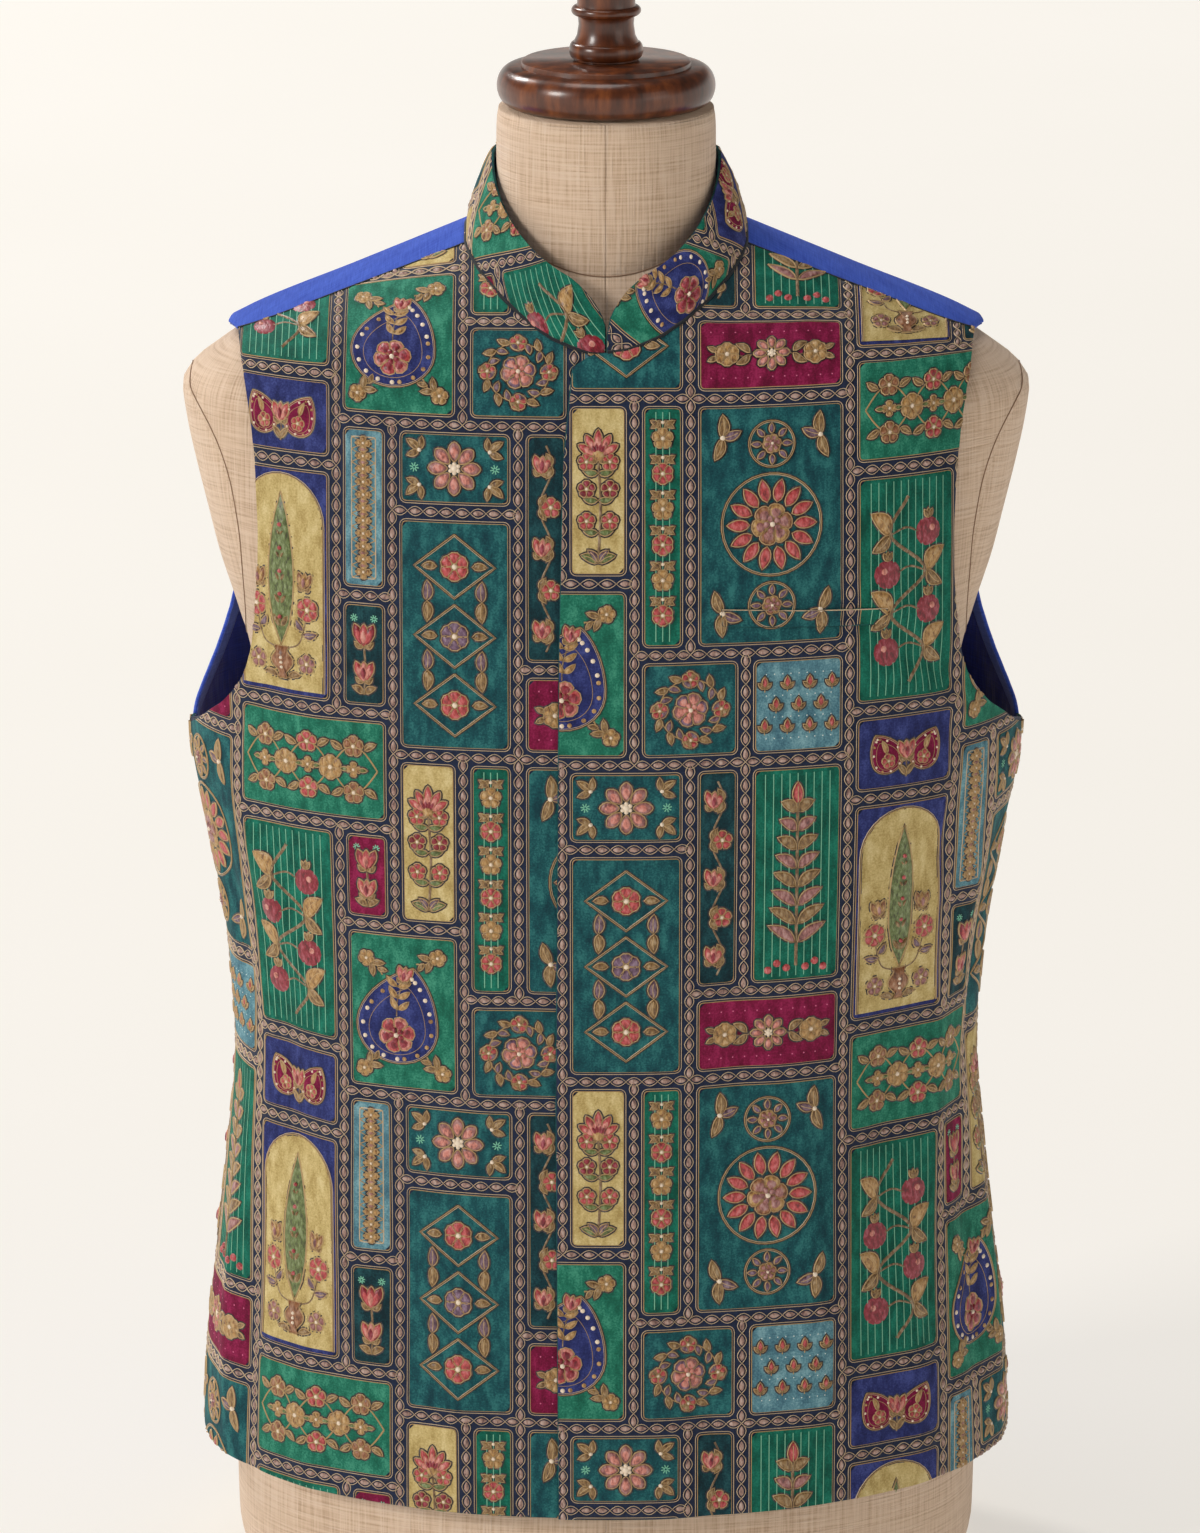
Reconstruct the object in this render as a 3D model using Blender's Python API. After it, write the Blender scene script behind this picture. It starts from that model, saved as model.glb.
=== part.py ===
"""Nehru jacket on a linen dress form with a turned wooden neck cap and finial.

Metres, +Z up, the jacket's front faces -Y and the form stands on z = 0.
The body under the cloth is a stack of level rings. Each cloth piece is drafted flat, as on a
pattern sheet, on a chart of one face of that body (across from the centre line, up from the
floor), and the chart wraps it round the body as a wall of cloth.
"""

import math

import bmesh
import bpy
import numpy as np

# Cloth
WALL = 0.002
SEAM_GAP = 0.0003
OVERLAP_LIFT = 0.0026
OVERLAP_FLAT = 0.022
OVERLAP_BLEND = 0.040
UNDERLAP_WIDTH = 0.018

# Levels and widths of the jacket's outline
HEM_LEVEL = 0.069
HEM_SIDE_RISE = 0.005
HEM_HALF_WIDTH = 0.2135
ARMPIT_LEVEL = 0.457
CHEST_LEVEL = 0.500
SIDE_SEAM_BEHIND = 0.010
BACK_NECK_LEVEL = 0.7245
NECK_RIDGE_LEVEL = 0.7190
SHOULDER_POINT_WIDTH = 0.1870
SHOULDER_POINT_LEVEL = 0.6691
NECK_POINT_WIDTH = 0.0710
NECK_POINT_LEVEL = 0.7139
ARMHOLE_RIDGE_WIDTH = 0.1930
HEM_UNDER_NECK = 0.095
HEM_STATIONS = 40

# Collar
NECK_FRONT = 0.0918
NECK_BACK = 0.0620
COLLAR_HEIGHT = 0.0355
COLLAR_CORNER = 0.027
COLLAR_END_GAP = 0.0012
COLLAR_TOP_HALF = 0.0582
COLLAR_TOP_FRONT = 0.0745
COLLAR_TOP_BACK = 0.0600
COLLAR_TOP_LEVELS = {"front": 0.7005, "side": 0.7545, "back": 0.7600}
COLLAR_TOP_SWEEP = 0.82
COLLAR_BULGE = 0.0022
COLLAR_FACE_LEAN = 0.3
COLLAR_SEAM_GAP = 0.0004

# Welt of the chest pocket, on the front that overlaps
WELT_INNER = 0.0575
WELT_OUTER = 0.1400
WELT_LEVEL = 0.5440
WELT_HEIGHT = 0.0080
WELT_THICKNESS = 0.0010
WELT_TILT = -0.050

# Dress form
NECK_RADIUS = 0.0558
NECK_TOP = 0.7790
NECK_SOCKET_LEVEL = 0.6600
FORM_TOP = 0.7300
PLATE_CENTRE = (0.191, 0.0, 0.577)
PLATE_HALF_DEPTH = 0.055
PLATE_HALF_HEIGHT = 0.080
PLATE_TILT = math.radians(11.9)
PLATE_THICKNESS = 0.012
PLATE_REACH = 0.060
CAP_RADIUS = 0.0555
CAP_HEIGHT = 0.0235
DISC_RADIUS = 0.0430
DISC_STEP = 0.0026
FINIAL_KNOB_RADIUS = 0.0175

# Faces of the meshes
OVERLAP_COLUMNS = 2
NECK_COLUMNS = 7
STRIP_ROWS = 3
SHOULDER_COLUMNS = 8
SIDE_ROWS = 10
ARMHOLE_ROWS = 18
COLLAR_ROWS = 4
CORNER_STATIONS = 6
FORM_SIDES = 44
FORM_ROW_HEIGHT = 0.030
NECK_SIDES = 44
PLATE_SIDES = 28
CAP_SIDES = 40
FINIAL_SIDES = 22
MIRROR = np.array([-1.0, 1.0, 1.0])

RING_COLUMNS = ("level", "half_width", "front", "back", "exponent")

GARMENT_RINGS = (
    (0.055, 0.2140, 0.1420, 0.1446, 2.20),
    (0.110, 0.2118, 0.1400, 0.1425, 2.20),
    (0.170, 0.2055, 0.1360, 0.1385, 2.20),
    (0.230, 0.1985, 0.1320, 0.1340, 2.20),
    (0.285, 0.1940, 0.1300, 0.1310, 2.20),
    (0.340, 0.1970, 0.1315, 0.1300, 2.25),
    (0.400, 0.2060, 0.1345, 0.1300, 2.30),
    (0.457, 0.2152, 0.1360, 0.1300, 2.30),
    (0.520, 0.2160, 0.1340, 0.1270, 2.30),
    (0.570, 0.2165, 0.1285, 0.1230, 2.30),
    (0.610, 0.2165, 0.1185, 0.1170, 2.25),
    (0.640, 0.2160, 0.1070, 0.1110, 2.20),
    (0.656, 0.2115, 0.0990, 0.1055, 2.20),
    (0.6703, 0.1890, 0.0908, 0.0985, 2.20),
    (0.6930, 0.1340, 0.0712, 0.0850, 2.20),
    (0.7065, 0.1012, 0.0562, 0.0755, 2.20),
    (0.7190, 0.0708, 0.0425, 0.0655, 2.20),
    (0.7415, 0.0160, 0.0240, 0.0475, 2.20),
)

FORM_RINGS = (
    (0.000, 0.1845, 0.1170, 0.1170, 2.20),
    (0.004, 0.1895, 0.1220, 0.1220, 2.20),
    (0.012, 0.1933, 0.1258, 0.1258, 2.20),
    (0.026, 0.1955, 0.1280, 0.1280, 2.20),
    (0.058, 0.1960, 0.1285, 0.1285, 2.20),
    (0.120, 0.1900, 0.1240, 0.1240, 2.20),
    (0.200, 0.1750, 0.1160, 0.1180, 2.20),
    (0.285, 0.1640, 0.1100, 0.1120, 2.20),
    (0.340, 0.1660, 0.1120, 0.1120, 2.20),
    (0.400, 0.1730, 0.1170, 0.1140, 2.25),
    (0.457, 0.1800, 0.1200, 0.1160, 2.30),
    (0.495, 0.1830, 0.1205, 0.1155, 2.30),
    (0.519, 0.1888, 0.1190, 0.1145, 2.30),
    (0.552, 0.1990, 0.1165, 0.1120, 2.30),
    (0.575, 0.2045, 0.1140, 0.1105, 2.30),
    (0.598, 0.2100, 0.1100, 0.1080, 2.25),
    (0.620, 0.2145, 0.1050, 0.1050, 2.20),
    (0.6370, 0.2165, 0.0985, 0.1010, 2.20),
    (0.6455, 0.2122, 0.0945, 0.0985, 2.20),
    (0.6550, 0.2005, 0.0895, 0.0950, 2.20),
    (0.6690, 0.1790, 0.0828, 0.0895, 2.20),
    (0.6930, 0.1250, 0.0648, 0.0785, 2.20),
    (0.7065, 0.0922, 0.0512, 0.0690, 2.20),
    (0.7190, 0.0620, 0.0375, 0.0590, 2.20),
    (0.7415, 0.0070, 0.0190, 0.0410, 2.20),
)

# Outlines of the pieces, from the level and the half width of each station
FRONT_ARMHOLE = (
    (0.6595, 0.1843),
    (0.6475, 0.1818),
    (0.6290, 0.1787),
    (0.6080, 0.1766),
    (0.5800, 0.1752),
    (0.5570, 0.1755),
    (0.5350, 0.1770),
    (0.5170, 0.1793),
    (0.5040, 0.1828),
    (0.4930, 0.1888),
    (0.4840, 0.1955),
    (0.4765, 0.2030),
    (0.4685, 0.2090),
    (0.4620, 0.2135),
)
BACK_ARMHOLE = (
    (0.6600, 0.1893),
    (0.6400, 0.1885),
    (0.6100, 0.1869),
    (0.5800, 0.1882),
    (0.5500, 0.1901),
    (0.5300, 0.1921),
    (0.5150, 0.1946),
    (0.5020, 0.1977),
    (0.4910, 0.2013),
    (0.4810, 0.2052),
    (0.4730, 0.2089),
    (0.4665, 0.2120),
    (0.4615, 0.2142),
)
FRONT_NECKLINE = (
    (0.6697, 0.0000),
    (0.6702, 0.0085),
    (0.6722, 0.0160),
    (0.6762, 0.0270),
    (0.6840, 0.0400),
    (0.6935, 0.0525),
    (0.7025, 0.0625),
    (0.7095, 0.0685),
    (NECK_POINT_LEVEL, NECK_POINT_WIDTH),
)
OVERLAP_NECKLINE = (
    (0.6634, -0.0165),
    (0.6670, -0.0105),
    (0.6690, -0.0060),
)
OVERLAP_EDGE = (
    (0.069, -0.0240),
    (0.290, -0.0252),
    (0.530, -0.0232),
    (0.620, -0.0212),
    (0.6634, -0.0165),
)

CHART_STEP = 0.004
CHART_ACROSS = 0.300
CHART_BELOW = 0.060
CHART_ABOVE = 0.360

COLOURS = {
    "linen": (0.68, 0.55, 0.42, 1.0),
    "wood": (0.09, 0.03, 0.015, 1.0),
    "printed_cloth": (0.02, 0.16, 0.13, 1.0),
    "blue_cloth": (0.04, 0.07, 0.42, 1.0),
}
ROUGHNESS = {"linen": 0.9, "wood": 0.25, "printed_cloth": 0.7, "blue_cloth": 0.6}


def clear_scene():
    for obj in list(bpy.data.objects):
        bpy.data.objects.remove(obj, do_unlink=True)


def material(name):
    found = bpy.data.materials.new(name)
    found.use_nodes = True
    shader = found.node_tree.nodes["Principled BSDF"]
    shader.inputs["Base Color"].default_value = COLOURS[name]
    shader.inputs["Roughness"].default_value = ROUGHNESS[name]
    shader.inputs["Metallic"].default_value = 0.0
    return found


def smooth_curve(levels, values, at):
    """Cubic through the rows that never overshoots them."""
    at = np.asarray(at, float)
    run = np.diff(levels)
    rise = np.diff(values) / run
    slope = np.zeros(len(levels))
    slope[0], slope[-1] = rise[0], rise[-1]
    same_way = rise[:-1] * rise[1:] > 0
    total = np.where(same_way, rise[:-1] + rise[1:], 1.0)
    slope[1:-1] = np.where(same_way, 2 * rise[:-1] * rise[1:] / total, 0.0)
    i = np.clip(np.searchsorted(levels, at) - 1, 0, len(levels) - 2)
    t = np.clip((at - levels[i]) / run[i], 0.0, 1.0)
    start = (2 * t**3 - 3 * t**2 + 1) * values[i]
    start += (t**3 - 2 * t**2 + t) * run[i] * slope[i]
    end = (3 * t**2 - 2 * t**3) * values[i + 1] + (t**3 - t**2) * run[i] * slope[i + 1]
    return start + end


def smooth_step(value):
    value = np.clip(value, 0.0, 1.0)
    return value * value * (3 - 2 * value)


class Rings:
    """A body of level rings, each a superellipse with its own front and back depth."""

    def __init__(self, rows):
        self.rows = {name: np.array(column) for name, column in zip(RING_COLUMNS, zip(*rows))}

    def column(self, name, level):
        return smooth_curve(self.rows["level"], self.rows[name], level)

    def ring(self, level, angles):
        """Points round one ring. -90 degrees is the centre front, 0 the side, 90 the centre back."""
        cosine, sine = np.cos(angles), np.sin(angles)
        power = 2 / self.column("exponent", level)
        depth = np.where(sine < 0, self.column("front", level), self.column("back", level))
        x = self.column("half_width", level) * np.sign(cosine) * np.abs(cosine) ** power
        y = depth * np.sign(sine) * np.abs(sine) ** power
        return np.stack([x, y, np.full_like(x, level)], -1)

    def face_point(self, x, level, face):
        """The point at half width x on the front (face -1) or the back (face 1)."""
        exponent = self.column("exponent", level)
        share = np.clip(x / self.column("half_width", level), 0.0, 1.0)
        depth = self.column("front" if face < 0 else "back", level)
        y = face * depth * (1 - share**exponent) ** (1 / exponent)
        return np.stack([np.broadcast_to(x, y.shape), y, level], -1)

    def ridge_level(self, x):
        """The level of the shoulder line at half width x."""
        levels = np.linspace(self.rows["level"][-1], 0.645, 400)
        return np.interp(x, self.column("half_width", levels), levels)


def arc_lengths(points):
    steps = np.linalg.norm(np.diff(points, axis=0), axis=1)
    return np.concatenate([[0.0], np.cumsum(steps)])


class Chart:
    """Flat chart of one face of half the body. Below the chest level, across follows the rings
    and up is the level. Above it, a column climbs at its own width, over the shoulder."""

    def __init__(self, rings, face):
        self.rings = rings
        self.face = face
        self.across = np.arange(0.0, CHART_ACROSS, CHART_STEP)
        self.up = np.arange(CHART_BELOW, CHEST_LEVEL + CHART_ABOVE, CHART_STEP)
        low = self.up[self.up < CHEST_LEVEL]
        high = self.up[self.up >= CHEST_LEVEL]
        self.chest_x = self.ring_row(CHEST_LEVEL)[:, 0]
        rows = [self.ring_row(level) for level in low]
        columns = [self.climb(x, high) for x in self.chest_x]
        self.points = np.concatenate([np.array(rows), np.array(columns).transpose(1, 0, 2)])
        along = np.gradient(self.points, axis=1)
        rising = np.gradient(self.points, axis=0)
        normals = np.cross(along, rising) * -self.face
        self.normals = normals / np.maximum(np.linalg.norm(normals, axis=-1), 1e-12)[..., None]

    def ring_line(self, level):
        turn = np.linspace(-math.pi / 2, math.pi / 6, 361)
        points = self.rings.ring(level, turn * -self.face)
        return points, arc_lengths(points)

    def ring_row(self, level):
        points, lengths = self.ring_line(level)
        return np.stack([np.interp(self.across, lengths, points[:, k]) for k in range(3)], -1)

    def section(self, x):
        """The body cut at half width x, from the chest up over the shoulder, with its lengths."""
        ridge = self.rings.ridge_level(x)
        near = CHEST_LEVEL + (ridge - CHEST_LEVEL) * np.sin(np.linspace(0, math.pi / 2, 90))
        far = near[:44:-1][1:]
        points = np.concatenate(
            [
                self.rings.face_point(x, near, self.face),
                self.rings.face_point(x, far, -self.face),
            ]
        )
        return points, arc_lengths(points), len(near)

    def climb(self, x, levels):
        points, lengths, _ = self.section(min(x, 0.2080))
        rise = levels - CHEST_LEVEL
        return np.stack([np.interp(rise, lengths, points[:, k]) for k in range(3)], -1)

    def place(self, x, level, over=False):
        """The chart's (across, up) of the body's point at a half width and a level."""
        if level <= CHEST_LEVEL:
            points, lengths = self.ring_line(level)
            side = np.argmax(points[:, 0])
            return np.interp(x, points[: side + 1, 0], lengths[: side + 1]), level
        widest = np.argmax(self.chest_x) + 1
        across = np.interp(x, self.chest_x[:widest], self.across[:widest])
        points, lengths, near = self.section(x)
        if over:
            return across, CHEST_LEVEL + np.interp(-level, -points[near:, 2], lengths[near:])
        return across, CHEST_LEVEL + np.interp(level, points[:near, 2], lengths[:near])

    def side(self, level):
        """The chart's across of the side seam at a level."""
        points, lengths = self.ring_line(level)
        inward = points[:, 1] * -self.face
        return np.interp(SIDE_SEAM_BEHIND * -self.face, inward, lengths)

    def wrap(self, flat, lift=0.0):
        """Body points for flat points. Those left of the centre line wrap as its mirror image."""
        across, up = np.abs(flat[..., 0]), flat[..., 1]
        column = across / CHART_STEP
        row = (up - CHART_BELOW) / CHART_STEP
        i = np.clip(column.astype(int), 0, len(self.across) - 2)
        j = np.clip(row.astype(int), 0, len(self.up) - 2)
        s, t = (column - i)[..., None], (row - j)[..., None]

        def blend(table):
            low = table[j, i] * (1 - s) + table[j, i + 1] * s
            return low * (1 - t) + (table[j + 1, i] * (1 - s) + table[j + 1, i + 1] * s) * t

        points = blend(self.points) + blend(self.normals) * np.asarray(lift)[..., None]
        points[..., 0] *= np.where(flat[..., 0] < 0, -1.0, 1.0)
        return points


def resample(outline, count):
    """The outline again with count even steps."""
    outline = np.asarray(outline, float)
    lengths = arc_lengths(outline)
    at = np.linspace(0.0, lengths[-1], count + 1)
    return np.stack([np.interp(at, lengths, outline[:, k]) for k in range(outline.shape[1])], -1)


def joined(*stretches):
    """Stretches of one side of a piece, end to end, without the doubled corners."""
    return np.concatenate([stretches[0]] + [stretch[1:] for stretch in stretches[1:]])


def fill(bottom, right, top, left):
    """Grid of flat points inside four sides: rows climb from the bottom, columns go to the right."""
    shares = [arc_lengths(side) / arc_lengths(side)[-1] for side in (bottom, top, left, right)]
    u = ((shares[0] + shares[1]) / 2)[None, :, None]
    v = ((shares[2] + shares[3]) / 2)[:, None, None]
    across = left[:, None] * (1 - u) + right[:, None] * u
    along = bottom[None] * (1 - v) + top[None] * v
    corners = (bottom[0] * (1 - u) + bottom[-1] * u) * (1 - v) + (top[0] * (1 - u) + top[-1] * u) * v
    return across + along - corners


def mesh_object(name, points, faces, kind, smooth=True):
    mesh = bpy.data.meshes.new(name)
    mesh.from_pydata([tuple(point) for point in points], [], faces)
    tidy = bmesh.new()
    tidy.from_mesh(mesh)
    bmesh.ops.recalc_face_normals(tidy, faces=tidy.faces)
    tidy.to_mesh(mesh)
    tidy.free()
    mesh.update()
    if smooth:
        mesh.shade_smooth()
        mesh.set_sharp_from_angle(angle=math.radians(35))
    mesh.materials.append(material(kind))
    obj = bpy.data.objects.new(name, mesh)
    bpy.context.scene.collection.objects.link(obj)
    return obj


def wall(name, patches, kind):
    """One solid of cloth from patches that meet at shared points. Each patch is two grids of
    points, the outside of the cloth and its inside."""
    points, places, outside = [], {}, []

    def index(outer, inner):
        key = tuple(np.round(outer, 6))
        if key not in places:
            places[key] = len(points) // 2
            points.extend([outer, inner])
        return places[key]

    for outer, inner in patches:
        rows, columns = outer.shape[:2]
        grid = [[index(outer[r, c], inner[r, c]) for c in range(columns)] for r in range(rows)]
        for r in range(rows - 1):
            for c in range(columns - 1):
                outside.append([grid[r][c], grid[r][c + 1], grid[r + 1][c + 1], grid[r + 1][c]])
    edges = {(q[k], q[(k + 1) % 4]) for q in outside for k in range(4)}
    faces = [[2 * corner for corner in quad] for quad in outside]
    faces += [[2 * corner + 1 for corner in reversed(quad)] for quad in outside]
    rim = [(here, there) for here, there in edges if (there, here) not in edges]
    faces += [[2 * there, 2 * here, 2 * here + 1, 2 * there + 1] for here, there in sorted(rim)]
    return mesh_object(name, points, faces, kind)


# --- Jacket ---------------------------------------------------------------------------------


def hem_level(x):
    """The hem rises a little towards the side seams."""
    return HEM_LEVEL + HEM_SIDE_RISE * (np.abs(x) / HEM_HALF_WIDTH) ** 2


def table_outline(chart, rows):
    return np.array([chart.place(x, level) for level, x in rows])


def shoulder_seam(chart, over, gap):
    """From the neck point to the shoulder point, straight as seen from the front."""
    share = np.linspace(0.0, 1.0, SHOULDER_COLUMNS + 1)
    level = NECK_POINT_LEVEL + (SHOULDER_POINT_LEVEL - NECK_POINT_LEVEL) * share
    x = NECK_POINT_WIDTH + (SHOULDER_POINT_WIDTH - NECK_POINT_WIDTH) * share
    seam = np.array([chart.place(a, b, over) for a, b in zip(x, level)])
    return seam - np.array([0.0, gap])


def side_seam(chart, gap):
    levels = np.linspace(hem_level(HEM_HALF_WIDTH), ARMPIT_LEVEL, SIDE_ROWS + 1)
    return np.array([(chart.side(level) - gap, level) for level in levels])


def signed_place(chart, x, level):
    across, up = chart.place(abs(x), level)
    return math.copysign(across, x), up


def half_hem(chart, seam_foot):
    """Flat hem from the centre to the side seam: its faces line up with the neck, then with the
    shoulder."""
    x = np.linspace(0.0, HEM_HALF_WIDTH - 0.0005, HEM_STATIONS)
    hem = np.array([chart.place(half, hem_level(half)) for half in x] + [seam_foot])
    under_neck = int(np.count_nonzero(hem[:, 0] < HEM_UNDER_NECK))
    return joined(
        resample(hem[:under_neck], NECK_COLUMNS),
        resample(hem[under_neck - 1 :], SHOULDER_COLUMNS),
    )


def front_grid(chart, edge, neckline):
    """Flat grid of a front: its sides are the hem, the side seam with the armhole, the neckline
    with the shoulder seam, and the front edge."""
    gap = SEAM_GAP / 2
    seam = side_seam(chart, gap)
    beyond = np.array([[-chart.place(-edge[0][0], HEM_LEVEL)[0], HEM_LEVEL], [0.0, HEM_LEVEL]])
    bottom = joined(resample(beyond, OVERLAP_COLUMNS), half_hem(chart, seam[0]))
    centre = [x for _, x in neckline].index(0.0)
    neck = np.array([signed_place(chart, x, level) for level, x in neckline])
    shoulder = shoulder_seam(chart, False, gap)
    neck[-1] = shoulder[0]
    top = joined(
        resample(neck[: centre + 1], OVERLAP_COLUMNS),
        resample(neck[centre:], NECK_COLUMNS),
        shoulder,
    )
    armhole = [seam[-1:], table_outline(chart, reversed(FRONT_ARMHOLE)), shoulder[-1:]]
    right = joined(seam, resample(np.concatenate(armhole), ARMHOLE_ROWS))
    edge_line = np.array([signed_place(chart, x, level) for x, level in edge[1:-1]])
    edge_line = np.concatenate([bottom[:1], edge_line, top[:1]])
    knee = np.array([[np.interp(ARMPIT_LEVEL, edge_line[:, 1], edge_line[:, 0]), ARMPIT_LEVEL]])
    below = np.concatenate([edge_line[edge_line[:, 1] < ARMPIT_LEVEL], knee])
    above = np.concatenate([knee, edge_line[edge_line[:, 1] > ARMPIT_LEVEL]])
    left = joined(resample(below, SIDE_ROWS), resample(above, ARMHOLE_ROWS))
    return fill(bottom, right, top, left)


def overlap_lift(flat):
    """The overlapping front stands over the other one near its edge, and settles beside it."""
    return OVERLAP_LIFT * (1 - smooth_step((flat[..., 0] - OVERLAP_FLAT) / OVERLAP_BLEND))


def make_front_left(chart):
    """The wearer's left front, which overlaps. Returns its neckline from the centre outwards."""
    edge = [(x, level) for level, x in OVERLAP_EDGE]
    flat = front_grid(chart, edge, OVERLAP_NECKLINE + FRONT_NECKLINE)
    lift = overlap_lift(flat)
    outer = chart.wrap(flat, lift)
    wall("front_left", [(outer, chart.wrap(flat, lift - WALL))], "printed_cloth")
    return outer[-1, OVERLAP_COLUMNS : OVERLAP_COLUMNS + NECK_COLUMNS + 1]


def make_front_right(chart):
    """The wearer's right front, which runs on under the other. Returns its neckline."""
    edge = [(-UNDERLAP_WIDTH, level) for level in (HEM_LEVEL, 0.300, 0.530, OVERLAP_NECKLINE[0][0])]
    share = UNDERLAP_WIDTH / -OVERLAP_NECKLINE[0][1]
    tucked = tuple((level, x * share) for level, x in OVERLAP_NECKLINE)
    flat = front_grid(chart, edge, tucked + FRONT_NECKLINE)
    level = np.zeros(flat.shape[:2])
    outer = chart.wrap(flat, level) * MIRROR
    wall("front_right", [(outer, chart.wrap(flat, level - WALL) * MIRROR)], "printed_cloth")
    return outer[-1, OVERLAP_COLUMNS : OVERLAP_COLUMNS + NECK_COLUMNS + 1]


def back_neckline(chart, count=40):
    """Flat outline from the centre back to the shoulder line."""
    rows = []
    for angle in np.linspace(math.pi / 2, 0.0, count):
        level = NECK_RIDGE_LEVEL + (BACK_NECK_LEVEL - NECK_RIDGE_LEVEL) * math.sin(angle)
        x = chart.rings.ring(level, np.array([angle]))[0][0]
        rows.append(chart.place(min(x, NECK_POINT_WIDTH), min(level, chart.rings.ridge_level(x))))
    return np.array(rows)


def shoulder_line(chart):
    """Flat outline along the top of the shoulder, from the neck to the armhole."""
    x = np.linspace(NECK_POINT_WIDTH, ARMHOLE_RIDGE_WIDTH, SHOULDER_COLUMNS + 1)
    return np.array([chart.place(half, chart.rings.ridge_level(half)) for half in x])


def make_back(chart):
    """One piece, which comes over the shoulders to the fronts. Returns half of its neckline."""
    seam = side_seam(chart, SEAM_GAP / 2)
    bottom = half_hem(chart, seam[0])
    neck, ridge = back_neckline(chart), shoulder_line(chart)
    neck[-1] = ridge[0]
    top = joined(resample(neck, NECK_COLUMNS), ridge)
    armhole = np.concatenate([seam[-1:], table_outline(chart, reversed(BACK_ARMHOLE)), ridge[-1:]])
    right = joined(seam, resample(armhole, ARMHOLE_ROWS))
    knee = np.array([[0.0, ARMPIT_LEVEL]])
    left = joined(
        resample(np.concatenate([bottom[:1], knee]), SIDE_ROWS),
        resample(np.concatenate([knee, top[:1]]), ARMHOLE_ROWS),
    )
    below = fill(bottom, right, top, left)
    below[:, 0, 0] = 0.0

    seam_top = shoulder_seam(chart, True, SEAM_GAP / 2)
    rise = np.linspace(0, 1, STRIP_ROWS + 1)[:, None, None]
    strip = ridge[None] * (1 - rise) + seam_top[None] * rise

    patches = []
    for mirror in (np.ones(3), MIRROR):
        for flat in (below, strip):
            level = np.zeros(flat.shape[:2])
            outer, inner = chart.wrap(flat, level) * mirror, chart.wrap(flat, level - WALL) * mirror
            patches.append((outer, inner) if mirror[0] > 0 else (outer[:, ::-1], inner[:, ::-1]))
    wall("back", patches, "blue_cloth")
    neck_points = chart.wrap(top[: NECK_COLUMNS + 1], np.zeros(NECK_COLUMNS + 1))
    strip_edge = chart.wrap(strip[1:, 0], np.zeros(STRIP_ROWS))
    return np.concatenate([neck_points, strip_edge])


def collar_half(neckline):
    """Outer face of half the band, from the centre front to the centre back: rows climb."""
    lengths = arc_lengths(neckline)
    corner = COLLAR_CORNER * (1 - np.cos(np.radians(np.linspace(0, 90, CORNER_STATIONS))))
    stations = np.concatenate([corner, lengths[lengths > COLLAR_CORNER + 0.003]])
    stations[0] = COLLAR_END_GAP / 2
    foot = np.stack([np.interp(stations, lengths, neckline[:, k]) for k in range(3)], -1)
    hand = np.sign(neckline[2, 0])
    neck_depth = np.where(foot[:, 1] < 0, NECK_FRONT, NECK_BACK)
    turn = np.arctan2(np.abs(foot[:, 0]) / NECK_POINT_WIDTH, -foot[:, 1] / neck_depth)
    levels = COLLAR_TOP_LEVELS
    rise = (levels["side"] - levels["front"]) * np.clip(1 - np.cos(turn), 0, 1) ** COLLAR_TOP_SWEEP
    rise += (levels["back"] - levels["side"]) * np.clip(-np.cos(turn), 0, 1)
    depth = np.where(turn < math.pi / 2, COLLAR_TOP_FRONT, COLLAR_TOP_BACK)
    head_x = hand * COLLAR_TOP_HALF * np.sin(turn)
    head = np.stack([head_x, -depth * np.cos(turn), levels["front"] + rise], -1)
    head[0, 0] = foot[0, 0]
    climb = head - foot
    height = np.linalg.norm(climb, axis=1, keepdims=True)
    foot = foot + climb / height * COLLAR_SEAM_GAP
    climb = head - foot
    from_corner = np.clip(COLLAR_CORNER - stations, 0, COLLAR_CORNER)
    drop = COLLAR_CORNER - np.sqrt(COLLAR_CORNER**2 - from_corner**2)
    reach = 1 - drop / COLLAR_HEIGHT
    share = np.linspace(0, 1, COLLAR_ROWS + 1)[:, None] * reach[None]
    lean = np.full_like(turn, COLLAR_FACE_LEAN)
    out = np.stack([hand * np.sin(turn), -np.cos(turn), lean], -1)
    bulge = COLLAR_BULGE * 4 * share * (1 - share)
    return foot[None] + climb[None] * share[..., None] + out[None] * bulge[..., None]


def make_collar(left_neckline, right_neckline, back_half):
    """One band round the neck, open at the centre front, its top corners rounded."""
    behind = back_half[-2::-1]
    right_half = collar_half(np.concatenate([left_neckline, behind]))
    left_half = collar_half(np.concatenate([right_neckline, behind * MIRROR]))
    outer = np.concatenate([left_half, right_half[:, -2::-1]], axis=1)
    along = np.gradient(outer, axis=1)
    rising = np.gradient(outer, axis=0)
    normal = np.cross(along, rising)
    normal /= np.linalg.norm(normal, axis=-1)[..., None]
    outward = np.sum(normal * outer * np.array([1.0, 1.0, 0.0]), axis=-1)
    normal *= np.sign(np.median(outward))
    wall("collar", [(outer, outer - normal * WALL)], "printed_cloth")


def make_welt(chart):
    """Slim welt of the chest pocket, made from the front's own points and moved out."""
    x = np.linspace(WELT_INNER, WELT_OUTER, 8)
    sides = []
    for half_height in (-WELT_HEIGHT / 2, WELT_HEIGHT / 2):
        level = WELT_LEVEL + WELT_TILT * (x - WELT_INNER) + half_height
        sides.append([chart.place(a, b) for a, b in zip(x, level)])
    flat = np.array(sides)
    lift = overlap_lift(flat) + SEAM_GAP
    face, underside = chart.wrap(flat, lift + WELT_THICKNESS), chart.wrap(flat, lift)
    wall("pocket_welt", [(face, underside)], "printed_cloth")


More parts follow.
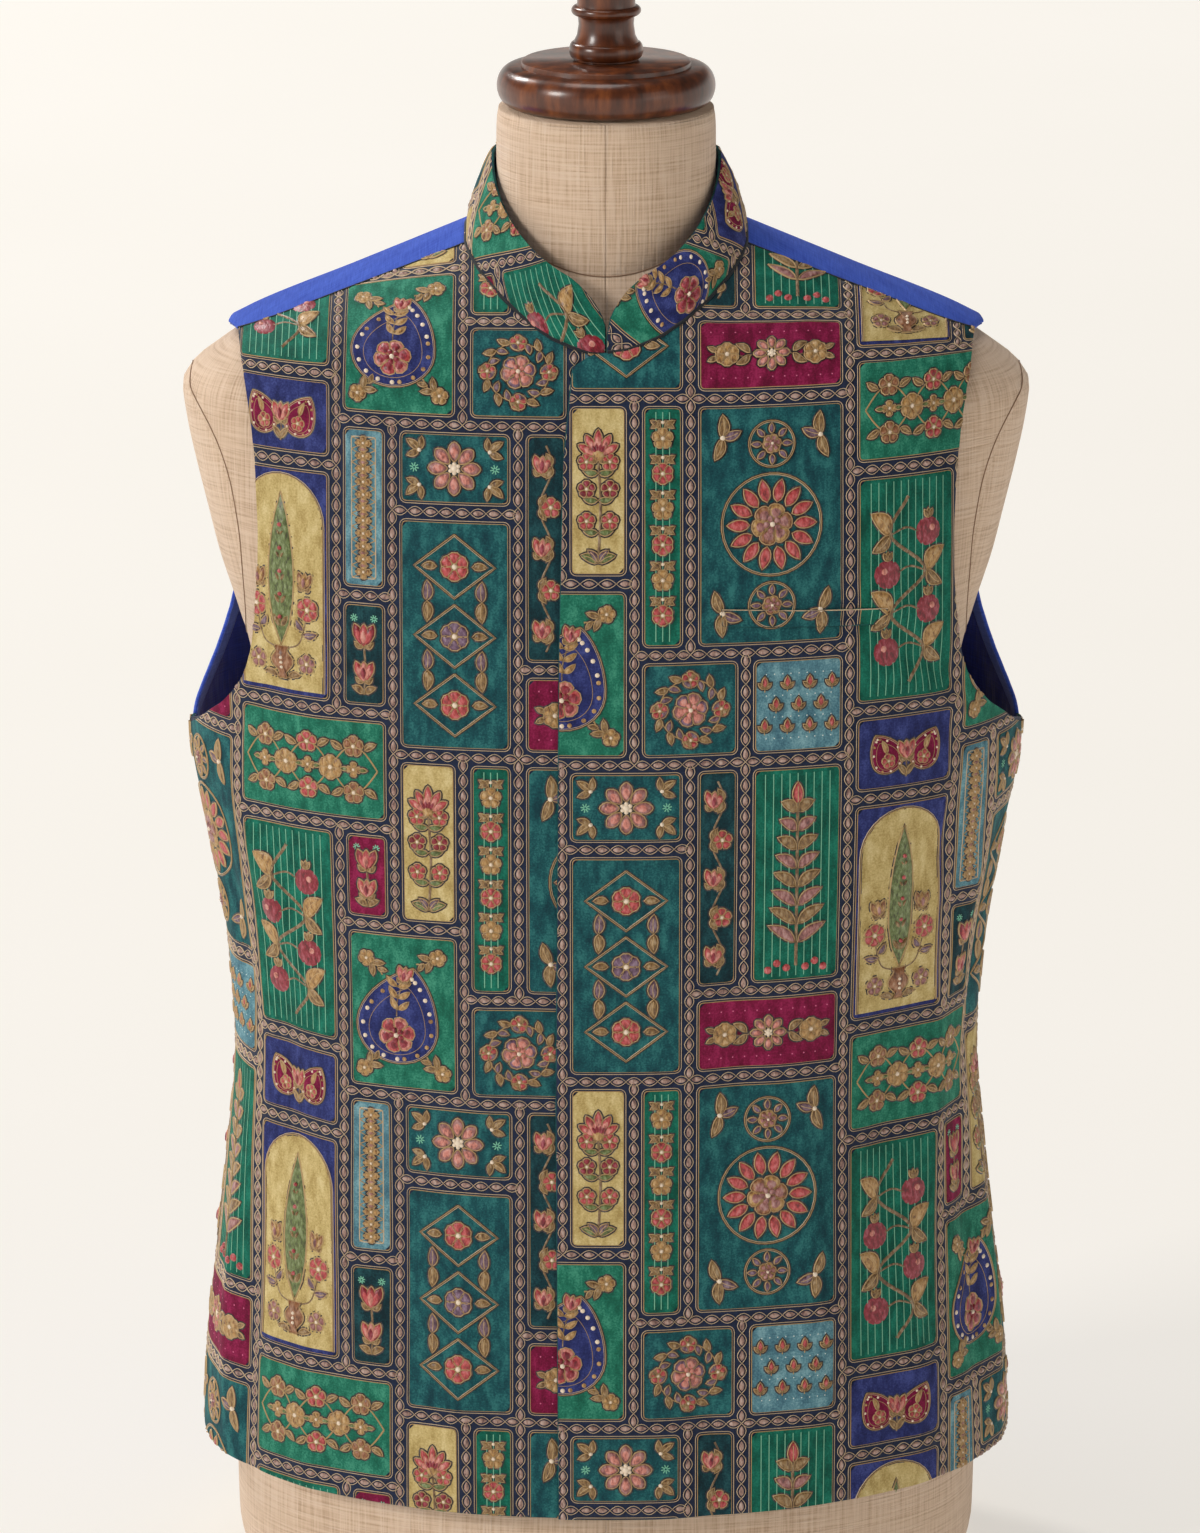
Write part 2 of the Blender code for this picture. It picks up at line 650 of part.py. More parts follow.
# --- Dress form -----------------------------------------------------------------------------


def loft(name, rings, levels, kind):
    """Closed body through the rings, flat at its foot and its head."""
    angles = np.linspace(0, 2 * math.pi, FORM_SIDES, endpoint=False)
    points = np.concatenate([rings.ring(level, angles) for level in levels])
    faces = []
    for row in range(len(levels) - 1):
        for side in range(FORM_SIDES):
            after = (side + 1) % FORM_SIDES
            low, high = row * FORM_SIDES, (row + 1) * FORM_SIDES
            faces.append([low + side, low + after, high + after, high + side])
    faces.append(list(range(FORM_SIDES))[::-1])
    faces.append([(len(levels) - 1) * FORM_SIDES + side for side in range(FORM_SIDES)])
    return mesh_object(name, points, faces, kind)


def form_levels():
    rows = [row[0] for row in FORM_RINGS if row[0] < FORM_TOP]
    levels = []
    for here, there in zip(rows, rows[1:] + [FORM_TOP]):
        steps = max(1, round((there - here) / FORM_ROW_HEIGHT))
        levels += list(np.linspace(here, there, steps, endpoint=False))
    return levels + [FORM_TOP]


def neck_cylinder(name, radius, foot, head, kind):
    mesh = bpy.data.meshes.new(name)
    solid = bmesh.new()
    bmesh.ops.create_cone(
        solid, cap_ends=True, segments=NECK_SIDES, radius1=radius, radius2=radius, depth=head - foot
    )
    bmesh.ops.translate(solid, vec=(0, 0, (foot + head) / 2), verts=solid.verts)
    solid.to_mesh(mesh)
    solid.free()
    mesh.shade_smooth()
    mesh.set_sharp_from_angle(angle=math.radians(35))
    mesh.materials.append(material(kind))
    obj = bpy.data.objects.new(name, mesh)
    bpy.context.scene.collection.objects.link(obj)
    return obj


def plate_prism(name, side, grow):
    """Oval prism that stands on the armhole's tilted plane, on one side (+1 or -1)."""
    centre = np.array(PLATE_CENTRE)
    upward = np.array([math.sin(PLATE_TILT), 0.0, math.cos(PLATE_TILT)])
    outward = np.array([math.cos(PLATE_TILT), 0.0, -math.sin(PLATE_TILT)])
    turn = np.linspace(0, 2 * math.pi, PLATE_SIDES, endpoint=False)
    oval = np.outer(np.sin(turn) * (PLATE_HALF_HEIGHT + grow), upward)
    oval[:, 1] += np.cos(turn) * (PLATE_HALF_DEPTH + grow)
    inner = centre + oval - outward * (PLATE_THICKNESS + grow)
    points = np.concatenate([inner, centre + oval + outward * PLATE_REACH]) * np.array([side, 1, 1])
    after = [(i + 1) % PLATE_SIDES for i in range(PLATE_SIDES)]
    faces = [[i, j, PLATE_SIDES + j, PLATE_SIDES + i] for i, j in enumerate(after)]
    faces += [list(range(PLATE_SIDES)), list(range(PLATE_SIDES, 2 * PLATE_SIDES))]
    return mesh_object(name, points, faces, "linen", smooth=False)


def cut(obj, cutter, operation):
    cutter.hide_render = True
    cutter.display_type = "WIRE"
    modifier = obj.modifiers.new(cutter.name, "BOOLEAN")
    modifier.operation = operation
    modifier.object = cutter
    modifier.solver = "EXACT"


def make_form():
    """Linen torso with a socket for the neck and an oval plate let in at each armhole."""
    rings = Rings(FORM_RINGS)
    levels = form_levels()
    torso = loft("form_torso", rings, levels, "linen")
    socket = neck_cylinder("neck_socket", NECK_RADIUS + SEAM_GAP, NECK_SOCKET_LEVEL, NECK_TOP, "linen")
    cut(torso, socket, "DIFFERENCE")
    for side, word in ((1, "left"), (-1, "right")):
        cut(torso, plate_prism(f"plate_recess_{word}", side, SEAM_GAP), "DIFFERENCE")
        plate = loft(f"arm_plate_{word}", rings, levels, "linen")
        cut(plate, plate_prism(f"plate_outline_{word}", side, 0.0), "INTERSECT")
    neck_cylinder("form_neck", NECK_RADIUS, NECK_SOCKET_LEVEL + SEAM_GAP, NECK_TOP, "linen")


def bead(radius, foot, head, bulge, steps=6):
    """Half-round swelling of a turned profile between two levels."""
    turn = np.radians(np.linspace(0, 180, steps + 1))
    middle, half = (foot + head) / 2, (head - foot) / 2
    return [(radius + bulge * math.sin(a), middle - half * math.cos(a)) for a in turn]


def turned(name, profile, sides):
    """Body turned from a profile of radius and level, listed upwards from the axis."""
    mesh = bpy.data.meshes.new(name)
    outline = [(radius, 0.0, level) for radius, level in reversed(profile)]
    edges = [(i, i + 1) for i in range(len(outline) - 1)]
    mesh.from_pydata(outline, edges, [])
    mesh.materials.append(material("wood"))
    obj = bpy.data.objects.new(name, mesh)
    bpy.context.scene.collection.objects.link(obj)
    screw = obj.modifiers.new("turn", "SCREW")
    screw.axis = "Z"
    screw.steps = sides
    screw.render_steps = sides
    screw.use_merge_vertices = True
    screw.merge_threshold = 0.00001
    screw.use_smooth_shade = True
    return obj


def make_cap_and_finial():
    foot = NECK_TOP + SEAM_GAP
    head = foot + CAP_HEIGHT
    step = head - DISC_STEP
    rim = bead(CAP_RADIUS - 0.0075, foot + 0.0008, step - 0.0004, 0.0075, 7)
    disc = [(DISC_RADIUS + 0.0030, step), (DISC_RADIUS + 0.0004, step), (DISC_RADIUS, head - 0.0006)]
    turned("neck_cap", [(0.0, foot)] + rim + disc + [(DISC_RADIUS - 0.0010, head), (0.0, head)], CAP_SIDES)

    base = head + SEAM_GAP
    profile = [(0.0, base), (0.0165, base)]
    profile += bead(0.0165, base + 0.0006, base + 0.0090, 0.0023, 4)
    profile += [(0.0148, base + 0.0125), (0.0140, base + 0.0180), (0.0143, base + 0.0215)]
    profile += bead(0.0150, base + 0.0225, base + 0.0275, 0.0027, 4)
    profile += [(0.0147, base + 0.0290), (0.0147, base + 0.0440)]
    profile += bead(0.0150, base + 0.0450, base + 0.0500, 0.0022, 4)
    profile += [(0.0105, base + 0.0520)]
    knob = FINIAL_KNOB_RADIUS
    start = math.degrees(math.asin(0.0105 / knob))
    centre = base + 0.0520 + knob * math.cos(math.radians(start))
    for angle in np.radians(np.linspace(start, 180, 10))[1:]:
        profile.append((knob * math.sin(angle), centre - knob * math.cos(angle)))
    profile[-1] = (0.0, centre + knob)
    turned("finial", profile, FINIAL_SIDES)


# --- Build ----------------------------------------------------------------------------------


def main():
    clear_scene()
    garment = Rings(GARMENT_RINGS)
    front = Chart(garment, -1)
    back = Chart(garment, 1)
    left_neckline = make_front_left(front)
    right_neckline = make_front_right(front)
    back_half = make_back(back)
    make_collar(left_neckline, right_neckline, back_half)
    make_welt(front)
    make_form()
    make_cap_and_finial()


main()
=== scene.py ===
"""Looks of a sleeveless nehru jacket on a linen dress form with a turned wooden cap and finial.

Metres, +Z up, the jacket's front faces -Y. The jacket's cloth is drafted flat on charts of the
body under it, and so is everything on it: the print is a patchwork of framed panels, laid out
flat in millimetres, cut to each piece's outline and wrapped with it round the body.
"""

import math

import bpy
import numpy as np
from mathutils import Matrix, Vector

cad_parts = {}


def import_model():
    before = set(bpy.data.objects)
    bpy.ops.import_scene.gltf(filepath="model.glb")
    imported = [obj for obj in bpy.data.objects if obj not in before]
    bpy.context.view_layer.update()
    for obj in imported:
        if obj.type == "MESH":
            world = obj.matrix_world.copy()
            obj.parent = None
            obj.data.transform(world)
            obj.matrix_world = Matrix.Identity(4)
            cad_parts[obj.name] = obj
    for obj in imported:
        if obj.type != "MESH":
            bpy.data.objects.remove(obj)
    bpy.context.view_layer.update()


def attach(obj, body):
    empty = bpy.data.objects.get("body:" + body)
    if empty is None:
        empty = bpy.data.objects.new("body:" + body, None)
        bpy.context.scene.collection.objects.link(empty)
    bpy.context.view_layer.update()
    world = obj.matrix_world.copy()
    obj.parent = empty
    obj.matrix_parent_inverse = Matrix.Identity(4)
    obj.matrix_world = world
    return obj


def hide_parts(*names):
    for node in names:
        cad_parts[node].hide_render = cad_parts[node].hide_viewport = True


# --- The jacket's cut, in metres ------------------------------------------------------------

WALL = 0.0018
RIM_ROUND = 0.0005
SEAM_GAP = 0.0003
OVERLAP_LIFT = 0.0026
OVERLAP_FLAT = 0.022
OVERLAP_BLEND = 0.040
UNDERLAP_WIDTH = 0.018
HEM_LEVEL = 0.069
HEM_SIDE_RISE = 0.005
HEM_HALF_WIDTH = 0.2135
HEM_UNDER_NECK = 0.095
HEM_STATIONS = 60
ARMPIT_LEVEL = 0.457
CHEST_LEVEL = 0.500
SIDE_SEAM_BEHIND = 0.010
BACK_NECK_LEVEL = 0.7245
NECK_RIDGE_LEVEL = 0.7190
SHOULDER_POINT_WIDTH = 0.1870
SHOULDER_POINT_LEVEL = 0.6691
NECK_POINT_WIDTH = 0.0710
NECK_POINT_LEVEL = 0.7139
ARMHOLE_RIDGE_WIDTH = 0.1930

COLLAR_NECK_FRONT = 0.0918
COLLAR_NECK_BACK = 0.0620
COLLAR_HEIGHT = 0.0355
COLLAR_CORNER = 0.027
COLLAR_END_GAP = 0.0012
COLLAR_TOP_HALF = 0.0582
COLLAR_TOP_FRONT = 0.0745
COLLAR_TOP_BACK = 0.0600
COLLAR_TOP_LEVELS = {"front": 0.7005, "side": 0.7545, "back": 0.7600}
COLLAR_TOP_SWEEP = 0.82
COLLAR_BULGE = 0.0022
COLLAR_FACE_LEAN = 0.3
COLLAR_SEAM_GAP = 0.0004
COLLAR_STATIONS = 121

WELT_INNER = 0.0575
WELT_OUTER = 0.1400
WELT_LEVEL = 0.5440
WELT_HEIGHT = 0.0080
WELT_THICKNESS = 0.0010
WELT_TILT = -0.050

FACING_WIDTH = 0.0055

# Faces of the cloth's meshes
OVERLAP_COLUMNS = 8
NECK_COLUMNS = 30
SHOULDER_COLUMNS = 36
SIDE_ROWS = 72
ARMHOLE_ROWS = 58
STRIP_ROWS = 8
COLLAR_ROWS = 14
WELT_COLUMNS = 30
WELT_ROWS = 4

MIRROR = np.array([-1.0, 1.0, 1.0])
ONES = np.ones(3)
MM = 0.001

# The narrow end of the body's shoulder line, and how far out a chart's column can climb over it
RIDGE_FOOT = 0.645
CLIMB_LIMIT = 0.2080

RING_COLUMNS = ("level", "half_width", "front", "back", "exponent")

GARMENT_RINGS = (
    (0.055, 0.2140, 0.1420, 0.1446, 2.20),
    (0.110, 0.2118, 0.1400, 0.1425, 2.20),
    (0.170, 0.2055, 0.1360, 0.1385, 2.20),
    (0.230, 0.1985, 0.1320, 0.1340, 2.20),
    (0.285, 0.1940, 0.1300, 0.1310, 2.20),
    (0.340, 0.1970, 0.1315, 0.1300, 2.25),
    (0.400, 0.2060, 0.1345, 0.1300, 2.30),
    (0.457, 0.2152, 0.1360, 0.1300, 2.30),
    (0.520, 0.2160, 0.1340, 0.1270, 2.30),
    (0.570, 0.2165, 0.1285, 0.1230, 2.30),
    (0.610, 0.2165, 0.1185, 0.1170, 2.25),
    (0.640, 0.2160, 0.1070, 0.1110, 2.20),
    (0.656, 0.2115, 0.0990, 0.1055, 2.20),
    (0.6703, 0.1890, 0.0908, 0.0985, 2.20),
    (0.6930, 0.1340, 0.0712, 0.0850, 2.20),
    (0.7065, 0.1012, 0.0562, 0.0755, 2.20),
    (0.7190, 0.0708, 0.0425, 0.0655, 2.20),
    (0.7415, 0.0160, 0.0240, 0.0475, 2.20),
)

FORM_RINGS = (
    (0.000, 0.1845, 0.1170, 0.1170, 2.20),
    (0.004, 0.1895, 0.1220, 0.1220, 2.20),
    (0.012, 0.1933, 0.1258, 0.1258, 2.20),
    (0.026, 0.1955, 0.1280, 0.1280, 2.20),
    (0.058, 0.1960, 0.1285, 0.1285, 2.20),
    (0.120, 0.1900, 0.1240, 0.1240, 2.20),
    (0.200, 0.1750, 0.1160, 0.1180, 2.20),
    (0.285, 0.1640, 0.1100, 0.1120, 2.20),
    (0.340, 0.1660, 0.1120, 0.1120, 2.20),
    (0.400, 0.1730, 0.1170, 0.1140, 2.25),
    (0.457, 0.1800, 0.1200, 0.1160, 2.30),
    (0.495, 0.1830, 0.1205, 0.1155, 2.30),
    (0.519, 0.1888, 0.1190, 0.1145, 2.30),
    (0.552, 0.1990, 0.1165, 0.1120, 2.30),
    (0.575, 0.2045, 0.1140, 0.1105, 2.30),
    (0.598, 0.2100, 0.1100, 0.1080, 2.25),
    (0.620, 0.2145, 0.1050, 0.1050, 2.20),
    (0.6370, 0.2165, 0.0985, 0.1010, 2.20),
    (0.6455, 0.2122, 0.0945, 0.0985, 2.20),
    (0.6550, 0.2005, 0.0895, 0.0950, 2.20),
    (0.6690, 0.1790, 0.0828, 0.0895, 2.20),
    (0.6930, 0.1250, 0.0648, 0.0785, 2.20),
    (0.7065, 0.0922, 0.0512, 0.0690, 2.20),
    (0.7190, 0.0620, 0.0375, 0.0590, 2.20),
    (0.7415, 0.0070, 0.0190, 0.0410, 2.20),
)

# Outlines of the pieces, from the level and the half width of each station
FRONT_ARMHOLE = (
    (0.6595, 0.1843),
    (0.6475, 0.1818),
    (0.6290, 0.1787),
    (0.6080, 0.1766),
    (0.5800, 0.1752),
    (0.5570, 0.1755),
    (0.5350, 0.1770),
    (0.5170, 0.1793),
    (0.5040, 0.1828),
    (0.4930, 0.1888),
    (0.4840, 0.1955),
    (0.4765, 0.2030),
    (0.4685, 0.2090),
    (0.4620, 0.2135),
)
BACK_ARMHOLE = (
    (0.6600, 0.1893),
    (0.6400, 0.1885),
    (0.6100, 0.1869),
    (0.5800, 0.1882),
    (0.5500, 0.1901),
    (0.5300, 0.1921),
    (0.5150, 0.1946),
    (0.5020, 0.1977),
    (0.4910, 0.2013),
    (0.4810, 0.2052),
    (0.4730, 0.2089),
    (0.4665, 0.2120),
    (0.4615, 0.2142),
)
FRONT_NECKLINE = (
    (0.6697, 0.0000),
    (0.6702, 0.0085),
    (0.6722, 0.0160),
    (0.6762, 0.0270),
    (0.6840, 0.0400),
    (0.6935, 0.0525),
    (0.7025, 0.0625),
    (0.7095, 0.0685),
    (NECK_POINT_LEVEL, NECK_POINT_WIDTH),
)
OVERLAP_NECKLINE = (
    (0.6634, -0.0165),
    (0.6670, -0.0105),
    (0.6690, -0.0060),
)
OVERLAP_EDGE = (
    (0.069, -0.0240),
    (0.290, -0.0252),
    (0.530, -0.0232),
    (0.620, -0.0212),
    (0.6634, -0.0165),
)

# Creases: from one flat point to another (across, up), with the half width and the height of the
# ridge. A negative height is a trough.
CREASE_COLUMNS = ("across_0", "up_0", "across_1", "up_1", "half_width", "height")
FRONT_CREASES = (
    (0.052, 0.548, 0.098, 0.541, 0.0045, -0.0009),
    (0.060, 0.556, 0.120, 0.551, 0.0060, 0.0007),
    (0.098, 0.540, 0.158, 0.530, 0.0055, -0.0010),
    (0.118, 0.549, 0.172, 0.534, 0.0070, 0.0009),
    (0.140, 0.528, 0.190, 0.498, 0.0075, -0.0011),
    (0.132, 0.512, 0.205, 0.476, 0.0075, 0.0012),
    (0.196, 0.452, 0.150, 0.365, 0.0087, -0.0016),
    (0.222, 0.440, 0.188, 0.330, 0.0093, 0.0018),
    (0.236, 0.400, 0.214, 0.275, 0.0081, -0.0020),
    (0.182, 0.360, 0.176, 0.205, 0.0105, 0.0018),
    (0.150, 0.330, 0.138, 0.160, 0.0118, -0.0015),
    (0.206, 0.260, 0.218, 0.095, 0.0099, -0.0022),
    (0.232, 0.240, 0.246, 0.075, 0.0081, 0.0020),
    (0.098, 0.280, 0.106, 0.090, 0.0136, 0.0014),
    (0.060, 0.400, 0.066, 0.210, 0.0124, -0.0010),
    (0.160, 0.180, 0.170, 0.064, 0.0112, 0.0017),
    (0.040, 0.200, 0.052, 0.064, 0.0105, -0.0012),
    (0.075, 0.640, 0.110, 0.705, 0.0075, 0.0006),
    (0.120, 0.600, 0.160, 0.690, 0.0081, -0.0005),
)
RIGHT_FRONT_CREASES = (
    (0.150, 0.520, 0.205, 0.470, 0.0075, -0.0011),
    (0.128, 0.500, 0.188, 0.452, 0.0075, 0.0011),
    (0.205, 0.450, 0.165, 0.350, 0.0087, 0.0017),
    (0.226, 0.430, 0.200, 0.300, 0.0087, -0.0019),
    (0.178, 0.370, 0.168, 0.220, 0.0112, -0.0016),
    (0.140, 0.340, 0.130, 0.150, 0.0124, 0.0015),
    (0.214, 0.260, 0.226, 0.080, 0.0093, 0.0021),
    (0.194, 0.230, 0.202, 0.064, 0.0093, -0.0019),
    (0.096, 0.290, 0.100, 0.110, 0.0130, -0.0013),
    (0.056, 0.420, 0.058, 0.230, 0.0118, 0.0010),
    (0.158, 0.160, 0.160, 0.064, 0.0105, 0.0015),
    (0.068, 0.190, 0.072, 0.064, 0.0112, 0.0013),
    (0.070, 0.640, 0.108, 0.700, 0.0075, -0.0005),
    (0.118, 0.610, 0.158, 0.690, 0.0087, 0.0006),
)
BACK_CREASES = (
    (-0.010, 0.700, 0.090, 0.640, 0.0090, 0.0007),
    (0.030, 0.640, 0.150, 0.560, 0.0110, -0.0009),
    (0.060, 0.560, 0.190, 0.480, 0.0110, 0.0012),
    (0.214, 0.450, 0.150, 0.350, 0.0100, -0.0018),
    (0.196, 0.430, 0.110, 0.310, 0.0110, 0.0018),
    (0.228, 0.380, 0.206, 0.260, 0.0090, 0.0016),
    (0.130, 0.350, 0.050, 0.285, 0.0090, -0.0017),
    (0.090, 0.318, -0.020, 0.270, 0.0080, 0.0015),
    (0.150, 0.280, 0.160, 0.080, 0.0130, -0.0020),
    (0.200, 0.240, 0.216, 0.064, 0.0110, 0.0020),
    (0.092, 0.240, 0.098, 0.064, 0.0140, 0.0018),
    (0.034, 0.230, 0.030, 0.064, 0.0120, -0.0015),
    (-0.020, 0.655, -0.130, 0.575, 0.0110, 0.0009),
    (-0.080, 0.560, -0.198, 0.470, 0.0120, -0.0012),
    (-0.212, 0.462, -0.160, 0.370, 0.0100, 0.0019),
    (-0.200, 0.420, -0.128, 0.325, 0.0100, -0.0017),
    (-0.226, 0.360, -0.204, 0.250, 0.0100, -0.0015),
    (-0.140, 0.335, -0.044, 0.290, 0.0090, 0.0017),
    (-0.100, 0.306, 0.006, 0.252, 0.0085, -0.0014),
    (-0.160, 0.270, -0.176, 0.064, 0.0130, 0.0021),
    (-0.206, 0.230, -0.214, 0.064, 0.0100, -0.0017),
    (-0.108, 0.220, -0.104, 0.064, 0.0150, -0.0018),
    (-0.048, 0.240, -0.052, 0.064, 0.0120, 0.0014),
)


# --- The body under the cloth ---------------------------------------------------------------


def smooth_curve(levels, values, at):
    """Cubic through the rows that never overshoots them."""
    at = np.asarray(at, float)
    run = np.diff(levels)
    rise = np.diff(values) / run
    slope = np.zeros(len(levels))
    slope[0], slope[-1] = rise[0], rise[-1]
    same_way = rise[:-1] * rise[1:] > 0
    total = np.where(same_way, rise[:-1] + rise[1:], 1.0)
    slope[1:-1] = np.where(same_way, 2 * rise[:-1] * rise[1:] / total, 0.0)
    i = np.clip(np.searchsorted(levels, at) - 1, 0, len(levels) - 2)
    t = np.clip((at - levels[i]) / run[i], 0.0, 1.0)
    start = (2 * t**3 - 3 * t**2 + 1) * values[i]
    start += (t**3 - 2 * t**2 + t) * run[i] * slope[i]
    end = (3 * t**2 - 2 * t**3) * values[i + 1] + (t**3 - t**2) * run[i] * slope[i + 1]
    return start + end


def smooth_step(value):
    value = np.clip(value, 0.0, 1.0)
    return value * value * (3 - 2 * value)


class Rings:
    """A body of level rings, each a superellipse with its own front and back depth."""

    def __init__(self, rows):
        self.rows = {name: np.array(column) for name, column in zip(RING_COLUMNS, zip(*rows))}

    def column(self, name, level):
        return smooth_curve(self.rows["level"], self.rows[name], level)

    def ring(self, level, angles):
        """Points round one ring. -90 degrees is the centre front, 0 the side, 90 the centre back."""
        cosine, sine = np.cos(angles), np.sin(angles)
        power = 2 / self.column("exponent", level)
        depth = np.where(sine < 0, self.column("front", level), self.column("back", level))
        x = self.column("half_width", level) * np.sign(cosine) * np.abs(cosine) ** power
        y = depth * np.sign(sine) * np.abs(sine) ** power
        return np.stack([x, y, np.full_like(x, level)], -1)

    def face_point(self, x, level, face):
        """The point at half width x on the front (face -1) or the back (face 1)."""
        exponent = self.column("exponent", level)
        share = np.clip(x / self.column("half_width", level), 0.0, 1.0)
        depth = self.column("front" if face < 0 else "back", level)
        y = face * depth * (1 - share**exponent) ** (1 / exponent)
        return np.stack([np.broadcast_to(x, y.shape), y, level], -1)

    def ridge_level(self, x):
        """The level of the shoulder line at half width x."""
        levels = np.linspace(self.rows["level"][-1], RIDGE_FOOT, 400)
        return np.interp(x, self.column("half_width", levels), levels)


def arc_lengths(points):
    steps = np.linalg.norm(np.diff(points, axis=0), axis=1)
    return np.concatenate([[0.0], np.cumsum(steps)])


def grid_normals(points):
    """Unit normals of a grid of points, along the columns times up the rows."""
    along = np.gradient(points, axis=1)
    rising = np.gradient(points, axis=0)
    normals = np.cross(along, rising)
    return normals / np.maximum(np.linalg.norm(normals, axis=-1), 1e-12)[..., None]


def look_up(table, column, row):
    """A table's value between its rows and columns."""
    i = np.clip(column.astype(int), 0, table.shape[1] - 2)
    j = np.clip(row.astype(int), 0, table.shape[0] - 2)
    s, t = column - i, row - j
    if table.ndim > 2:
        s, t = s[..., None], t[..., None]
    low = table[j, i] * (1 - s) + table[j, i + 1] * s
    return low * (1 - t) + (table[j + 1, i] * (1 - s) + table[j + 1, i + 1] * s) * t


CHART_STEP = 0.004
CHART_ACROSS = 0.300
CHART_BELOW = 0.060
CHART_ABOVE = 0.360


class Chart:
    """Flat chart of one face of half the body. Below the chest level, across follows the rings
    and up is the level. Above it, a column climbs at its own width, over the shoulder."""

    def __init__(self, rings, face):
        self.rings = rings
        self.face = face
        self.across = np.arange(0.0, CHART_ACROSS, CHART_STEP)
        self.up = np.arange(CHART_BELOW, CHEST_LEVEL + CHART_ABOVE, CHART_STEP)
        low = self.up[self.up < CHEST_LEVEL]
        high = self.up[self.up >= CHEST_LEVEL]
        self.chest_x = self.ring_row(CHEST_LEVEL)[:, 0]
        rows = [self.ring_row(level) for level in low]
        columns = [self.climb(x, high) for x in self.chest_x]
        self.points = np.concatenate([np.array(rows), np.array(columns).transpose(1, 0, 2)])
        self.normals = grid_normals(self.points) * -self.face

    def ring_line(self, level):
        turn = np.linspace(-math.pi / 2, math.pi / 6, 361)
        points = self.rings.ring(level, turn * -self.face)
        return points, arc_lengths(points)

    def ring_row(self, level):
        points, lengths = self.ring_line(level)
        return np.stack([np.interp(self.across, lengths, points[:, k]) for k in range(3)], -1)

    def section(self, x):
        """The body cut at half width x, from the chest up over the shoulder, with its lengths."""
        ridge = self.rings.ridge_level(x)
        near = CHEST_LEVEL + (ridge - CHEST_LEVEL) * np.sin(np.linspace(0, math.pi / 2, 90))
        far = near[:44:-1][1:]
        climbing = self.rings.face_point(x, near, self.face)
        falling = self.rings.face_point(x, far, -self.face)
        points = np.concatenate([climbing, falling])
        return points, arc_lengths(points), len(near)

    def climb(self, x, levels):
        points, lengths, _near = self.section(min(x, CLIMB_LIMIT))
        rise = levels - CHEST_LEVEL
        return np.stack([np.interp(rise, lengths, points[:, k]) for k in range(3)], -1)

    def place(self, x, level, over=False):
        """The chart's (across, up) of the body's point at a half width and a level."""
        if level <= CHEST_LEVEL:
            points, lengths = self.ring_line(level)
            side = np.argmax(points[:, 0])
            return np.interp(x, points[: side + 1, 0], lengths[: side + 1]), level
        widest = np.argmax(self.chest_x) + 1
        across = np.interp(x, self.chest_x[:widest], self.across[:widest])
        points, lengths, near = self.section(x)
        if over:
            return across, CHEST_LEVEL + np.interp(-level, -points[near:, 2], lengths[near:])
        return across, CHEST_LEVEL + np.interp(level, points[:near, 2], lengths[:near])

    def signed_place(self, x, level):
        across, up = self.place(abs(x), level)
        return math.copysign(across, x), up

    def side(self, level):
        """The chart's across of the side seam at a level."""
        points, lengths = self.ring_line(level)
        inward = points[:, 1] * -self.face
        return np.interp(SIDE_SEAM_BEHIND * -self.face, inward, lengths)

    def wrap(self, flat, lift):
        """Body points for flat points. Those left of the centre line wrap as its mirror image."""
        column = np.abs(flat[..., 0]) / CHART_STEP
        row = (flat[..., 1] - CHART_BELOW) / CHART_STEP
        points = look_up(self.points, column, row)
        points = points + look_up(self.normals, column, row) * lift[..., None]
        points[..., 0] *= np.where(flat[..., 0] < 0, -1.0, 1.0)
        return points


# --- Flat cutting ---------------------------------------------------------------------------


def resample(outline, count):
    """The outline again with count even steps."""
    outline = np.asarray(outline, float)
    lengths = arc_lengths(outline)
    at = np.linspace(0.0, lengths[-1], count + 1)
    return np.stack([np.interp(at, lengths, outline[:, k]) for k in range(outline.shape[1])], -1)


def joined(*stretches):
    """Stretches of one side of a piece, end to end, without the doubled corners."""
    return np.concatenate([stretches[0]] + [stretch[1:] for stretch in stretches[1:]])


def fill(bottom, right, top, left):
    """Grid of flat points inside four sides: rows climb from the bottom, columns go to the right."""
    shares = [arc_lengths(side) / arc_lengths(side)[-1] for side in (bottom, top, left, right)]
    u = ((shares[0] + shares[1]) / 2)[None, :, None]
    v = ((shares[2] + shares[3]) / 2)[:, None, None]
    across = left[:, None] * (1 - u) + right[:, None] * u
    along = bottom[None] * (1 - v) + top[None] * v
    low = (bottom[0] * (1 - u) + bottom[-1] * u) * (1 - v)
    high = (top[0] * (1 - u) + top[-1] * u) * v
    return across + along - (low + high)


def hem_level(x):
    """The hem rises a little towards the side seams."""
    return HEM_LEVEL + HEM_SIDE_RISE * (np.abs(x) / HEM_HALF_WIDTH) ** 2


def shoulder_seam(chart, over, gap):
    """From the neck point to the shoulder point, straight as seen from the front."""
    share = np.linspace(0.0, 1.0, SHOULDER_COLUMNS + 1)
    level = NECK_POINT_LEVEL + (SHOULDER_POINT_LEVEL - NECK_POINT_LEVEL) * share
    x = NECK_POINT_WIDTH + (SHOULDER_POINT_WIDTH - NECK_POINT_WIDTH) * share
    seam = np.array([chart.place(a, b, over) for a, b in zip(x, level)])
    return seam - np.array([0.0, gap])


def side_seam(chart, gap):
    levels = np.linspace(hem_level(HEM_HALF_WIDTH), ARMPIT_LEVEL, SIDE_ROWS + 1)
    return np.array([(chart.side(level) - gap, level) for level in levels])


